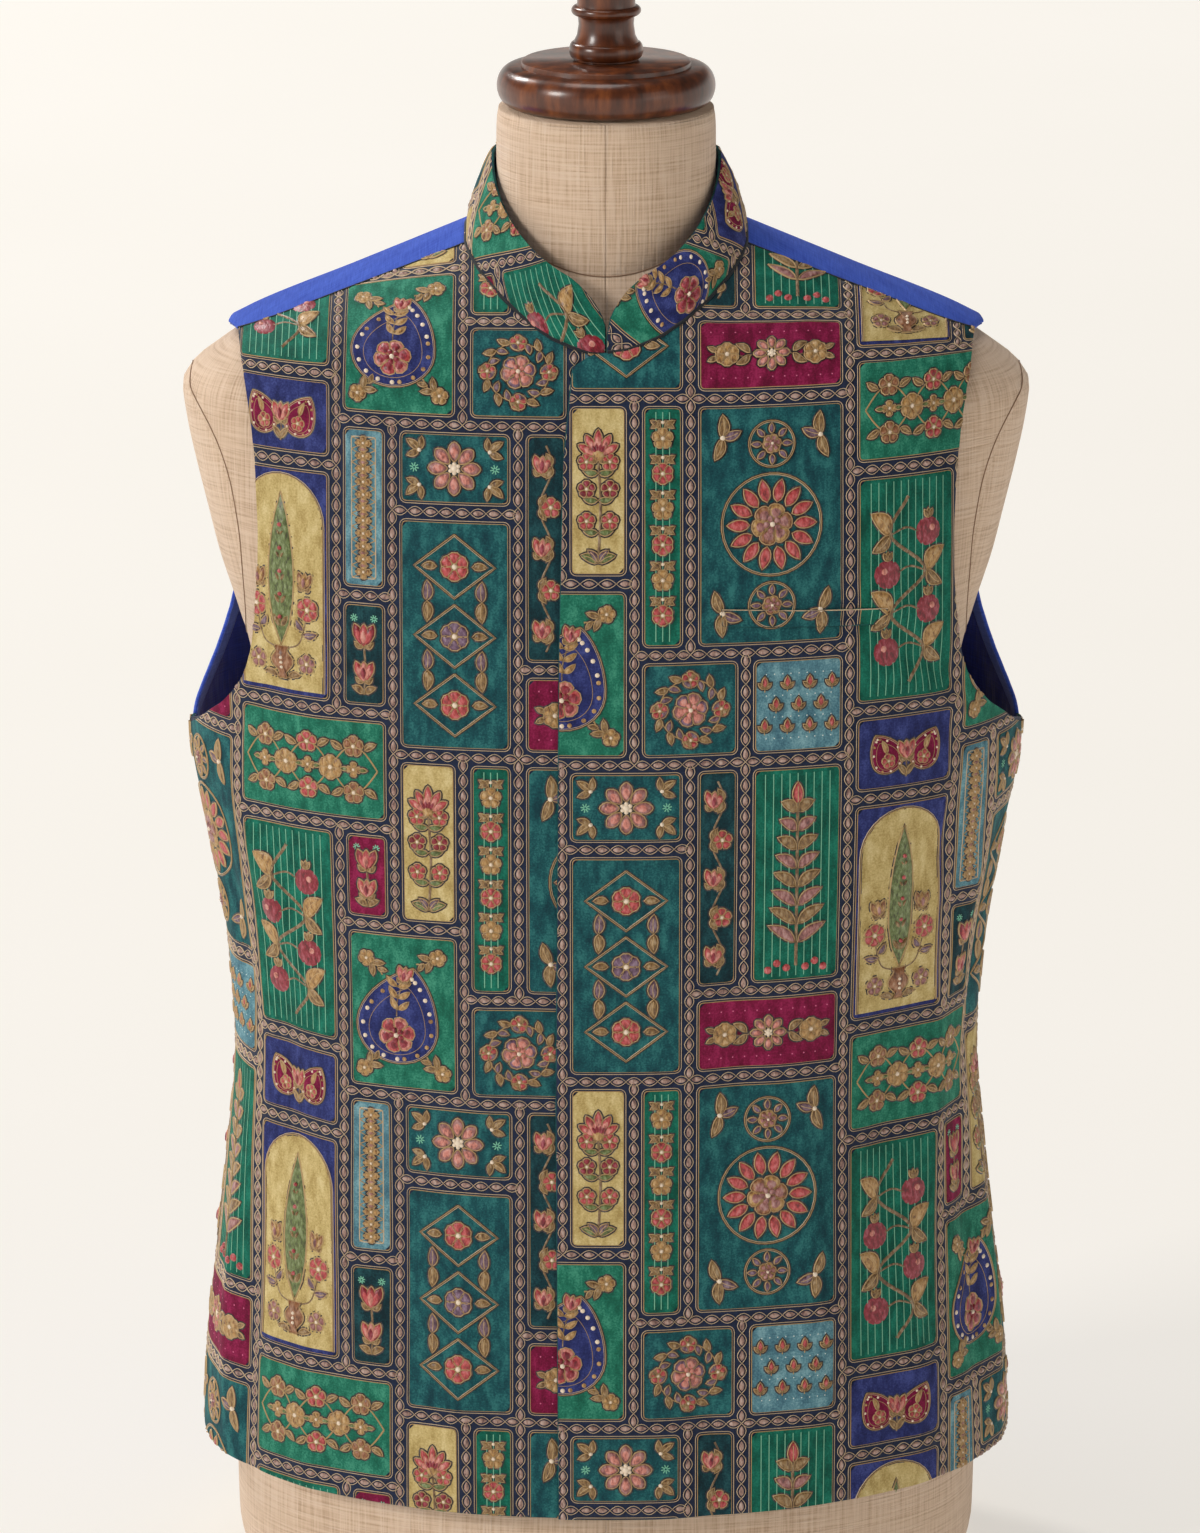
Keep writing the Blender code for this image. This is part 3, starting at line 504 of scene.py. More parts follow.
def half_hem(chart, seam_foot):
    """Flat hem from the centre to the side seam: its faces line up with the neck, then with the
    shoulder."""
    x = np.linspace(0.0, HEM_HALF_WIDTH - 0.0005, HEM_STATIONS)
    hem = np.array([chart.place(half, hem_level(half)) for half in x] + [seam_foot])
    under_neck = int(np.count_nonzero(hem[:, 0] < HEM_UNDER_NECK))
    inner = resample(hem[:under_neck], NECK_COLUMNS)
    return joined(inner, resample(hem[under_neck - 1 :], SHOULDER_COLUMNS))


def front_grid(chart, edge, neckline):
    """Flat grid of a front: its sides are the hem, the side seam with the armhole, the neckline
    with the shoulder seam, and the front edge."""
    seam = side_seam(chart, SEAM_GAP / 2)
    beyond = np.array([[-chart.place(-edge[0][0], HEM_LEVEL)[0], HEM_LEVEL], [0.0, HEM_LEVEL]])
    bottom = joined(resample(beyond, OVERLAP_COLUMNS), half_hem(chart, seam[0]))
    centre = [x for _, x in neckline].index(0.0)
    neck = np.array([chart.signed_place(x, level) for level, x in neckline])
    shoulder = shoulder_seam(chart, False, SEAM_GAP / 2)
    neck[-1] = shoulder[0]
    top = joined(
        resample(neck[: centre + 1], OVERLAP_COLUMNS),
        resample(neck[centre:], NECK_COLUMNS),
        shoulder,
    )
    stations = np.array([chart.place(x, level) for level, x in reversed(FRONT_ARMHOLE)])
    armhole = np.concatenate([seam[-1:], stations, shoulder[-1:]])
    right = joined(seam, resample(armhole, ARMHOLE_ROWS))
    edge_line = np.array([chart.signed_place(x, level) for x, level in edge[1:-1]])
    edge_line = np.concatenate([bottom[:1], edge_line, top[:1]])
    knee = np.array([[np.interp(ARMPIT_LEVEL, edge_line[:, 1], edge_line[:, 0]), ARMPIT_LEVEL]])
    below = np.concatenate([edge_line[edge_line[:, 1] < ARMPIT_LEVEL], knee])
    above = np.concatenate([knee, edge_line[edge_line[:, 1] > ARMPIT_LEVEL]])
    left = joined(resample(below, SIDE_ROWS), resample(above, ARMHOLE_ROWS))
    return fill(bottom, right, top, left)


def left_front_grid(chart):
    """The wearer's left front, which overlaps."""
    edge = [(x, level) for level, x in OVERLAP_EDGE]
    return front_grid(chart, edge, OVERLAP_NECKLINE + FRONT_NECKLINE)


def right_front_grid(chart):
    """The wearer's right front, which runs on under the other."""
    levels = (HEM_LEVEL, 0.300, 0.530, OVERLAP_NECKLINE[0][0])
    edge = [(-UNDERLAP_WIDTH, level) for level in levels]
    share = UNDERLAP_WIDTH / -OVERLAP_NECKLINE[0][1]
    tucked = tuple((level, x * share) for level, x in OVERLAP_NECKLINE)
    return front_grid(chart, edge, tucked + FRONT_NECKLINE)


def back_neckline(chart):
    """Flat outline from the centre back to the shoulder line."""
    rows = []
    for angle in np.linspace(math.pi / 2, 0.0, 60):
        level = NECK_RIDGE_LEVEL + (BACK_NECK_LEVEL - NECK_RIDGE_LEVEL) * math.sin(angle)
        x = chart.rings.ring(level, np.array([angle]))[0][0]
        rows.append(chart.place(min(x, NECK_POINT_WIDTH), min(level, chart.rings.ridge_level(x))))
    return np.array(rows)


def back_grids(chart):
    """Flat grids of half the back: the panel up to the top of the shoulder, and the strip that comes
    over it to the front."""
    seam = side_seam(chart, SEAM_GAP / 2)
    bottom = half_hem(chart, seam[0])
    x = np.linspace(NECK_POINT_WIDTH, ARMHOLE_RIDGE_WIDTH, SHOULDER_COLUMNS + 1)
    ridge = np.array([chart.place(half, chart.rings.ridge_level(half)) for half in x])
    neck = back_neckline(chart)
    neck[-1] = ridge[0]
    top = joined(resample(neck, NECK_COLUMNS), ridge)
    stations = np.array([chart.place(x, level) for level, x in reversed(BACK_ARMHOLE)])
    armhole = np.concatenate([seam[-1:], stations, ridge[-1:]])
    right = joined(seam, resample(armhole, ARMHOLE_ROWS))
    knee = np.array([[0.0, ARMPIT_LEVEL]])
    left = joined(
        resample(np.concatenate([bottom[:1], knee]), SIDE_ROWS),
        resample(np.concatenate([knee, top[:1]]), ARMHOLE_ROWS),
    )
    below = fill(bottom, right, top, left)
    below[:, 0, 0] = 0.0
    seam_top = shoulder_seam(chart, True, SEAM_GAP / 2)
    rise = np.linspace(0, 1, STRIP_ROWS + 1)[:, None, None]
    strip = ridge[None] * (1 - rise) + seam_top[None] * rise
    return below, strip


def overlap_lift(flat):
    """The overlapping front stands over the other one near its edge, and settles beside it."""
    return OVERLAP_LIFT * (1 - smooth_step((flat[..., 0] - OVERLAP_FLAT) / OVERLAP_BLEND))


def creases(flat, rows):
    """Soft ridges and troughs along straight stretches, which fade out at both ends."""
    total = np.zeros(flat.shape[:-1])
    for row in rows:
        crease = dict(zip(CREASE_COLUMNS, row))
        start = np.array([crease["across_0"], crease["up_0"]])
        run = np.array([crease["across_1"], crease["up_1"]]) - start
        length = np.linalg.norm(run)
        offset = flat - start
        along = offset @ run / length**2
        aside = (offset[..., 0] * run[1] - offset[..., 1] * run[0]) / length
        aside = aside + crease["half_width"] * 0.5 * np.sin(along * math.pi)
        fade = smooth_step(1 - np.abs(along - 0.5) / 0.75)
        total += crease["height"] * fade * np.exp(-((aside / crease["half_width"]) ** 2))
    return total


class Band:
    """The collar: across is the length along its foot from the wearer's right end, up its height."""

    def __init__(self, chart_left, chart_right, back_edge):
        left_half, left_stations = self.half(np.concatenate([chart_left, back_edge]))
        right_half, right_stations = self.half(np.concatenate([chart_right, back_edge * MIRROR]))
        self.points = np.concatenate([right_half, left_half[:, -2::-1]], axis=1)
        total = right_stations[-1] + left_stations[-1]
        self.stations = np.concatenate([right_stations, total - left_stations[-2::-1]])
        self.normals = grid_normals(self.points)
        outward = np.sum(self.normals * self.points * np.array([1.0, 1.0, 0.0]), axis=-1)
        self.normals *= np.sign(np.median(outward))

    def half(self, neckline):
        """Outer face of half the band, from the centre front to the centre back: rows climb."""
        lengths = arc_lengths(neckline)
        stations = np.linspace(COLLAR_END_GAP / 2, lengths[-1], COLLAR_STATIONS)
        foot = np.stack([np.interp(stations, lengths, neckline[:, k]) for k in range(3)], -1)
        hand = np.sign(neckline[len(neckline) // 4, 0])
        neck_depth = np.where(foot[:, 1] < 0, COLLAR_NECK_FRONT, COLLAR_NECK_BACK)
        turn = np.arctan2(np.abs(foot[:, 0]) / NECK_POINT_WIDTH, -foot[:, 1] / neck_depth)
        levels = COLLAR_TOP_LEVELS
        forward = np.clip(1 - np.cos(turn), 0, 1) ** COLLAR_TOP_SWEEP
        rise = (levels["side"] - levels["front"]) * forward
        rise += (levels["back"] - levels["side"]) * np.clip(-np.cos(turn), 0, 1)
        depth = np.where(turn < math.pi / 2, COLLAR_TOP_FRONT, COLLAR_TOP_BACK)
        head_x = hand * COLLAR_TOP_HALF * np.sin(turn)
        head = np.stack([head_x, -depth * np.cos(turn), levels["front"] + rise], -1)
        head[0, 0] = foot[0, 0]
        climb = head - foot
        height = np.linalg.norm(climb, axis=1, keepdims=True)
        foot = foot + climb / height * COLLAR_SEAM_GAP
        climb = head - foot
        share = np.linspace(0, 1, COLLAR_ROWS + 1)[:, None, None]
        lean = np.full_like(turn, COLLAR_FACE_LEAN)
        out = np.stack([hand * np.sin(turn), -np.cos(turn), lean], -1)
        bulge = out[None] * COLLAR_BULGE * 4 * share * (1 - share)
        return foot[None] + climb[None] * share + bulge, stations

    def grid(self):
        """Flat grid of the band with its round front corners."""
        total = self.stations[-1]
        from_end = np.minimum(self.stations, total - self.stations)
        from_corner = np.clip(COLLAR_CORNER - from_end, 0, COLLAR_CORNER)
        drop = COLLAR_CORNER - np.sqrt(COLLAR_CORNER**2 - from_corner**2)
        share = np.linspace(0, 1, COLLAR_ROWS + 1)[:, None]
        up = share * (COLLAR_HEIGHT - drop)[None]
        return np.stack([np.broadcast_to(self.stations, up.shape), up], -1)

    def wrap(self, flat, lift):
        column = np.interp(flat[..., 0], self.stations, np.arange(len(self.stations)))
        row = np.clip(flat[..., 1] / COLLAR_HEIGHT, 0, 1) * COLLAR_ROWS
        out = look_up(self.normals, column, row)
        return look_up(self.points, column, row) + out * lift[..., None]


# --- Meshes ---------------------------------------------------------------------------------


def mesh_object(name, points, faces, materials, kinds=None, uv=None):
    """A smooth mesh from arrays. faces is a list of arrays of triangles or of quads."""
    mesh = bpy.data.meshes.new(name)
    blocks = [block for block in faces if len(block)]
    corners = np.concatenate([block.reshape(-1) for block in blocks]).astype(np.int32)
    sizes = np.concatenate([np.full(len(block), block.shape[1]) for block in blocks])
    starts = np.concatenate([[0], np.cumsum(sizes)[:-1]]).astype(np.int32)
    mesh.vertices.add(len(points))
    mesh.vertices.foreach_set("co", np.asarray(points, np.float32).reshape(-1))
    mesh.loops.add(len(corners))
    mesh.loops.foreach_set("vertex_index", corners)
    mesh.polygons.add(len(sizes))
    mesh.polygons.foreach_set("loop_start", starts)
    if kinds is not None:
        mesh.polygons.foreach_set("material_index", np.asarray(kinds, np.int32))
    if uv is not None:
        layer = mesh.uv_layers.new(name="Cut")
        layer.data.foreach_set("uv", np.asarray(uv, np.float32)[corners].reshape(-1))
    mesh.update(calc_edges=True)
    mesh.shade_smooth()
    for material in materials:
        mesh.materials.append(material)
    obj = bpy.data.objects.new(name, mesh)
    bpy.context.scene.collection.objects.link(obj)
    return obj


def grid_quads(rows, columns):
    """Quads of a grid whose points are listed row by row."""
    here = (np.arange(rows - 1)[:, None] * columns + np.arange(columns - 1)[None]).reshape(-1)
    return np.stack([here, here + 1, here + 1 + columns, here + columns], -1)


class Cloth:
    """A cut piece: its flat grids, and where its flat points lie on the body."""

    def __init__(self, surface, grids, hand=ONES, lift=None, wall=WALL):
        self.surface = surface
        self.grids = grids
        self.hand = hand
        self.lift = lift or (lambda flat: np.zeros(flat.shape[:-1]))
        self.wall = wall

    def wrap(self, flat, height=0.0):
        return self.surface.wrap(flat, self.lift(flat) + height) * self.hand

    def outline(self):
        grid = self.grids[0]
        return np.concatenate([grid[0], grid[1:, -1], grid[-1, -2::-1], grid[-2:0:-1, 0]])


def shell(name, cloth, materials, copies=(ONES,)):
    """The thin wall of a piece: outside, inside, and a rounded rim between them. The outside takes
    the first material, the inside and the rim the second and third."""
    outer, inner, uv, quads, places = [], [], [], [], {}
    for copy in copies:
        for grid in cloth.grids:
            flat = grid.reshape(-1, 2)
            top = cloth.wrap(flat * copy[:2])
            bottom = cloth.wrap(flat * copy[:2], -cloth.wall)
            index = []
            for k, key in enumerate(map(tuple, np.round(top, 6))):
                if key not in places:
                    places[key] = len(outer)
                    outer.append(top[k])
                    inner.append(bottom[k])
                    uv.append(flat[k] * copy[:2] * cloth.hand[:2])
                index.append(places[key])
            quads.append(np.array(index)[grid_quads(*grid.shape[:2])])
    outer, inner, uv = np.array(outer), np.array(inner), np.array(uv)
    sides = []
    for block in quads:
        out = (outer - inner)[block[:, 0]]
        a, b, c = (outer[block[:, k]] for k in (0, 1, 2))
        against = np.sum(np.cross(b - a, c - a) * out) < 0
        sides.append(block[:, ::-1] if against else block)
    quads = np.concatenate(sides)
    ends = np.concatenate([quads[:, [k, (k + 1) % 4]] for k in range(4)])
    key = ends[:, 0].astype(np.int64) * len(outer) + ends[:, 1]
    back_key = ends[:, 1].astype(np.int64) * len(outer) + ends[:, 0]
    rim = ends[~np.isin(key, back_key)]
    around = np.unique(rim)
    out = np.zeros_like(outer)
    run = outer[rim[:, 1]] - outer[rim[:, 0]]
    aside = np.cross(run, (outer - inner)[rim[:, 0]])
    for column in (0, 1):
        np.add.at(out, rim[:, column], aside)
    out = out[around] / np.linalg.norm(out[around], axis=1)[:, None]
    middle = (outer[around] + inner[around]) / 2 + out * RIM_ROUND
    slot = np.zeros(len(outer), int)
    slot[around] = np.arange(len(around)) + 2 * len(outer)
    a, b = rim.T
    n = len(outer)
    rim_top = np.stack([b, a, slot[a], slot[b]], -1)
    rim_quads = np.concatenate([rim_top, np.stack([slot[b], slot[a], a + n, b + n], -1)])
    points = np.concatenate([outer, inner, middle])
    uv = np.concatenate([uv, uv, uv[around]])
    kinds = np.repeat([0, 1, 2], [len(quads), len(quads), len(rim_quads)])
    faces = [quads, quads[:, ::-1] + n, rim_quads]
    return mesh_object(name, points, faces, materials, kinds, uv)


# --- Flat print: shapes in millimetres, as complex numbers (across + up * 1j) ----------------


LARGE = 8.0
LARGE_RINGS = (0.9, 0.55)
SMALL_RINGS = (0.72,)
DOME_POWER = 2.2
LOTUS_SPREAD = 58


def turned(degrees):
    return complex(math.cos(math.radians(degrees)), math.sin(math.radians(degrees)))


def fine(path, step):
    """The path again, with points at most a step apart."""
    path = np.asarray(path, complex)
    gaps = np.abs(np.diff(path))
    counts = np.maximum(np.ceil(gaps / step), 1).astype(int)
    pieces = []
    for start, end, count in zip(path[:-1], path[1:], counts):
        pieces.append(start + (end - start) * np.arange(count) / count)
    return np.concatenate(pieces + [path[-1:]])


def curve(points, count=14):
    """Smooth path through a few points."""
    points = np.asarray(points, complex)
    ends = np.concatenate([[2 * points[0] - points[1]], points, [2 * points[-1] - points[-2]]])
    path = []
    for k in range(len(points) - 1):
        a, b, c, d = ends[k : k + 4]
        t = np.arange(count) / count
        square, cube = 2 * a - 5 * b + 4 * c - d, 3 * b - a - 3 * c + d
        path.append(0.5 * (2 * b + (c - a) * t + square * t**2 + cube * t**3))
    return np.concatenate(path + [points[-1:]])


def arc(centre, radius, start, end, count):
    angles = np.radians(np.linspace(start, end, count))
    return centre + radius * np.exp(1j * angles)


def petal_shape(length, width, point, count):
    """Outline of a petal from 0 along the real axis, widest towards its tip."""
    angle = np.linspace(0, 2 * math.pi, count, endpoint=False)
    share = (1 - np.cos(angle)) / 2
    half = width / 2 * np.sin(angle) * (0.55 + 0.62 * share) * (1 - point * share**5)
    return length * share + 1j * half


def leaf_shape(length, width, bend, count):
    """Outline of a leaf from 0 along the real axis, pointed at its tip."""
    share = np.linspace(0, 1, count // 2 + 1)
    spine = length * share + 1j * bend * np.sin(math.pi * share)
    half = width / 2 * np.sin(math.pi * share**0.85) ** 0.8
    return np.concatenate([spine - 1j * half, (spine + 1j * half)[-2:0:-1]])


def boteh_shape(height):
    """Outline of a paisley: a full round foot, and a tip that curls over to one side."""
    angle = np.linspace(0, 2 * math.pi, 40, endpoint=False)
    share = (1 - np.cos(angle)) / 2
    half = 0.345 * height * np.sin(angle) * (1 - share) ** 0.55 * 1.35
    lean = 0.30 * height * np.clip(share - 0.35, 0, 1) ** 1.6
    return half + lean + 1j * height * (share * (1 - 0.16 * share**3) - 0.45)


class Ink:
    """The print's raised work, gathered by material: triangles of (across, up, height)."""

    def __init__(self):
        self.points = {}
        self.faces = {}
        self.counts = {}

    def add(self, kind, points, faces):
        first = self.counts.get(kind, 0)
        self.points.setdefault(kind, []).append(points)
        self.faces.setdefault(kind, []).append(np.asarray(faces) + first)
        self.counts[kind] = first + len(points)

    def arrays(self):
        made = {}
        for kind, points in self.points.items():
            made[kind] = np.concatenate(points), np.concatenate(self.faces[kind])
        return made


class Pen:
    """Draws on the ink from its own place, turned and mirrored as set."""

    def __init__(self, ink, origin=0j, turn=1 + 0j, flip=False, base=0.0):
        self.ink = ink
        self.origin = origin
        self.turn = turn
        self.flip = flip
        self.base = base

    def put(self, shape):
        shape = np.asarray(shape, complex)
        return self.origin + self.turn * (np.conj(shape) if self.flip else shape)

    def at(self, origin, degrees=0.0):
        """A pen at a place on this one, turned further."""
        turn = turned(-degrees if self.flip else degrees)
        return Pen(self.ink, complex(self.put(origin)), self.turn * turn, self.flip, self.base)

    def mirrored(self):
        """This pen with left and right changed over."""
        return Pen(self.ink, self.origin, -self.turn, not self.flip, self.base)

    def both(self):
        """This pen and its mirror image."""
        return self, self.mirrored()

    def add(self, kind, flat, levels, faces):
        """Puts faces on the ink, all of them with their fronts up."""
        a, b, c = flat[faces.T]
        down = (np.conj(b - a) * (c - a)).imag < 0
        faces = np.where(down[:, None], faces[:, ::-1], faces)
        self.ink.add(kind, np.stack([flat.real, flat.imag, levels + self.base], -1), faces)

    def dome(self, kind, outline, height, base=0.0, ring_shares=LARGE_RINGS):
        """A filled shape, crowned from its outline to its middle."""
        outline = self.put(outline)
        n = len(outline)
        centre = outline.mean()
        rings = [outline] + [centre + (outline - centre) * share for share in ring_shares]
        levels = [0.0] + [height * (1 - share**DOME_POWER) ** 0.5 for share in ring_shares]
        flat = np.concatenate(rings + [[centre]])
        levels = np.concatenate([np.repeat(levels, n), [height]]) + base
        side = np.arange(n)
        after = (side + 1) % n
        last = len(ring_shares) * n
        faces = []
        for low in range(0, last, n):
            faces.append(np.stack([low + side, low + after, low + n + after], -1))
            faces.append(np.stack([low + side, low + n + after, low + n + side], -1))
        faces.append(np.stack([last + side, last + after, np.full(n, last + n)], -1))
        self.add(kind, flat, levels, np.concatenate(faces))

    def stepped(self, path, width, closed, step):
        """A path in short steps, and the way from each of its points to its left edge."""
        path = self.put(path)
        if closed:
            path = np.append(path, path[0])
        path = fine(path, step)
        along = np.gradient(path)
        if closed:
            along[0] = along[-1] = path[1] - path[-2]
        return path, 1j * along / np.maximum(np.abs(along), 1e-9) * width / 2

    def strips(self, kind, lines, levels):
        """Strips of faces between lines that run side by side, each at its own level."""
        n = len(lines[0])
        here = np.arange(n - 1)
        faces = []
        for first in range(0, (len(lines) - 1) * n, n):
            faces.append(np.stack([first + here, first + here + 1, first + n + here + 1], -1))
            faces.append(np.stack([first + here, first + n + here + 1, first + n + here], -1))
        self.add(kind, np.concatenate(lines), np.repeat(levels, n), np.concatenate(faces))

    def cord(self, kind, path, width, height, base=0.0, closed=False, step=6.0):
        """A rounded cord along a path."""
        path, aside = self.stepped(path, width, closed, step)
        self.strips(kind, [path - aside, path, path + aside], [base, height + base, base])

    def ribbon(self, kind, path, width, height=0.06, closed=False, step=9.0):
        """A flat line along a path."""
        path, aside = self.stepped(path, width, closed, step)
        self.strips(kind, [path - aside, path + aside], [height, height])

    def bead(self, kind, centre, radius, height, sides=9, base=0.0):
        circle = centre + radius * np.exp(2j * math.pi * np.arange(sides) / sides)
        self.dome(kind, circle, height, base, (0.75,))

    def edging(self, shape):
        """A cord round a shape, with a dark ribbon under it that shows outside it as a painted shadow
        line.
        """
        # the dark "shade" ribbon is a painted shadow beside the raised cord
        self.ribbon("shade", shape, 2.1, 0.15, closed=True)
        self.cord("cord", shape, 0.72, 0.95, closed=True, step=9.0)

    # Flowers and leaves

    def petal(self, kind, degrees, length, width, point, start, height, inner=None):
        """A padded petal with a lighter heart, edged with a cord over a painted shadow line."""
        pen = self.at(start * turned(degrees), degrees)
        large = length > LARGE
        shape = petal_shape(length, width, point, 14 if large else 9)
        pen.dome(kind, shape, height, 0.0, LARGE_RINGS if large else SMALL_RINGS)
        if inner:
            pen.dome(inner, length * 0.16 + shape * 0.60, height * 0.42, height * 0.78, (0.7,))
        pen.edging(shape)

    def leaf(self, kind, place, degrees, length, width, bend=0.0, height=1.0, vein=True):
        """A padded leaf, edged like the petals. A wide one has a vein."""
        pen = self.at(place, degrees)
        large = length > LARGE
        shape = leaf_shape(length, width, bend, 14 if large else 10)
        pen.dome(kind, shape, height, 0.0, LARGE_RINGS if large else SMALL_RINGS)
        pen.edging(shape)
        if vein and width > 3.2:
            share = np.linspace(0.1, 0.8, 7)
            spine = length * share + 1j * bend * np.sin(math.pi * share)
            pen.cord("cord", spine, 0.4, 0.2, height * 0.9)

    def leaf_pair(self, kind, place, degrees, length, width, bend=0.0, vein=True):
        """Two leaves from one place, which lean away from each other."""
        for lean in (1, -1):
            self.leaf(kind, place, lean * degrees, length, width, lean * bend, vein=vein)

    def stem(self, points, width):
        self.cord("stem", curve(points, 8), width, width * 0.5)

    def rose(self, place, radius, tones):
        """Full-blown flower: a ring of wide petals, a ring of small ones, and a seed."""
        pen = self.at(place)
        for k in range(6):
            reach, width, start = radius * 0.80, radius * 0.92, radius * 0.22
            pen.petal(tones[k % 2], 60.0 * k + 12, reach, width, 0.1, start, 1.2, tones[2])
        for k in range(5):
            pen.petal(tones[2], 72 * k + 40, radius * 0.42, radius * 0.40, 0.0, radius * 0.06, 2.0)
        pen.bead("pearl", 0, radius * 0.13 + 0.3, 2.6)

    def rosette(self, place, radius, point):
        """Open flower of eight even petals round a seed."""
        pen = self.at(place)
        reach, width, start = radius * 0.74, radius * 4.3 / 8, radius * 0.26
        for k in range(8):
            pen.petal("petal_rose", 45.0 * k + 90, reach, width, point, start, 1.2, "petal_pink")
        for k in range(6):
            pen.bead("pearl", radius * 0.17 * turned(60 * k + 30), radius * 0.075 + 0.15, 0.8)
        pen.bead("pearl", 0, radius * 0.13 + 0.2, 1.2)

    def blossom(self, place, radius, kind, petals=5):
        """Small flower of round petals."""
        pen = self.at(place)
        for k in range(petals):
            angle = 360 * k / petals + 90.0
            pen.petal(kind, angle, radius * 0.78, radius * 0.95, 0.0, radius * 0.2, 0.9)
        pen.bead("pearl", 0, radius * 0.2 + 0.15, 0.9)

    def lotus(self, place, degrees, size, tones):
        """Fan of pointed petals on a cup, opening along the direction given."""
        pen = self.at(place, degrees)
        for angle in sorted(np.linspace(-LOTUS_SPREAD, LOTUS_SPREAD, 5), key=lambda angle: -abs(angle)):
            reach = size * (1.0 - 0.0028 * abs(angle))
            pen.petal(tones[0], angle, reach, size * 0.36, 0.55, 0, 1.1, tones[1])
        for angle in np.linspace(-LOTUS_SPREAD / 2, LOTUS_SPREAD / 2, 4):
            pen.petal(tones[1], angle, size * 0.62, size * 0.26, 0.55, 0, 1.8, tones[2])
        cup = size * 0.30
        circle = 0.75 * np.exp(2j * math.pi * np.arange(12) / 12)
        pen.dome("petal_gold", 0.28 * cup + cup * circle, 2.4)
        pen.edging(arc(0.28 * cup, cup * 0.75, 0, 330, 11))
        pen.leaf_pair("leaf_gold", 0, 118, size * 0.42, size * 0.16, 1.0, vein=False)

    def tulip(self, place, degrees, size, tones):
        """Closed cup of three petals."""
        pen = self.at(place, degrees)
        for lean in (24, -24):
            pen.petal(tones[0], lean, size, size * 0.50, 0.75, 0, 1.2, tones[1])
        pen.petal(tones[1], 0, size * 0.92, size * 0.46, 0.7, 0, 1.8, tones[2])
        pen.leaf_pair("leaf_gold", 0, 62, size * 0.45, size * 0.2, 1.0, vein=False)

    def spark(self, place, size):
        """Small star of fine strokes, painted flat."""
        pen = self.at(place)
        for k in range(8):
            ray = turned(45.0 * k + 12)
            pen.ribbon("faint_green", [ray * size * 0.22, ray * size], 0.55)


# --- The patchwork ----------------------------------------------------------------------------

REPEAT = complex(240, 352)
FRAME_INSET = 4.0
PANEL_INSET = 5.2
PANEL_CORNER = 1.8
GROUND_HEIGHT = 0.32
GROUND_STEP = 3.0
CHAIN_PITCH = 8.0
CHAIN_HALF_WIDTH = 2.35
DOUBLE_CORD_GAP = 0.75
FRAME_CORNER = PANEL_CORNER + 1.4
MOTIF_INSET = PANEL_INSET + 1.2
PRINT_GRID = 1.5
PRINT_MARGIN = 4.0

CORAL = ("petal_coral", "petal_pink", "petal_deep")
DEEP = ("petal_deep", "petal_coral", "petal_pink")
MAUVE = ("petal_mauve", "petal_rose", "petal_pink")
BRONZE = ("petal_bronze", "petal_gold", "petal_rose")


def rounded_box(half, corner):
    """Outline of a box with round corners, round the origin."""
    inner = half - corner * (1 + 1j)
    sides = []
    for quarter, sign in enumerate((1 + 1j, -1 + 1j, -1 - 1j, 1 - 1j)):
        centre = complex(inner.real * sign.real, inner.imag * sign.imag)
        sides.append(arc(centre, corner, 90 * quarter, 90 * quarter + 90, 5))
    return np.concatenate(sides)


def distance_inside(points, outline):
    """How far each point lies inside a closed outline, less than nothing outside it."""
    start = outline
    end = np.roll(outline, -1)
    run = end - start
    keep = np.abs(run) > 1e-9
    start, run = start[keep], run[keep]
    nearest = np.full(points.shape, np.inf)
    crossings = np.zeros(points.shape, int)
    for a, r in zip(start, run):
        offset = points - a
        along = np.clip((offset * np.conj(r)).real / abs(r) ** 2, 0, 1)
        nearest = np.minimum(nearest, np.abs(offset - along * r))
        b = a + r
        spans = (a.imag > points.imag) != (b.imag > points.imag)
        if r.imag:
            meets = a.real + (points.imag - a.imag) / r.imag * r.real
            crossings += spans & (points.real < meets)
    return np.where(crossings % 2 == 1, nearest, -nearest)


def clip(points, faces, inside):
    """The triangles cut off where inside, one number a point, falls below nothing."""
    keep = inside[faces] > 0
    kept = keep.sum(axis=1)
    made_points, made_faces = [points], [faces[kept == 3]]
    count = len(points)
    for wanted in (1, 2):
        chosen = kept == wanted
        triangles, flags = faces[chosen], keep[chosen]
        if not len(triangles):
            continue
        odd = np.argmax(flags if wanted == 1 else ~flags, axis=1)
        a, b, c = np.take_along_axis(triangles, (odd[:, None] + np.arange(3)) % 3, 1).T
        cuts = []
        for other in (b, c):
            share = (inside[a] / (inside[a] - inside[other]))[:, None]
            made_points.append(points[a] + (points[other] - points[a]) * share)
            cuts.append(np.arange(len(a)) + count)
            count += len(a)
        near_b, near_c = cuts
        if wanted == 1:
            made_faces.append(np.stack([a, near_b, near_c], -1))
        else:
            made_faces.append(np.stack([near_b, b, c], -1))
            made_faces.append(np.stack([near_b, c, near_c], -1))
    return np.concatenate(made_points), np.concatenate(made_faces)


def used(points, faces):
    """Drops the points that no face uses."""
    index, back = np.unique(faces, return_inverse=True)
    return points[index], back.reshape(faces.shape)


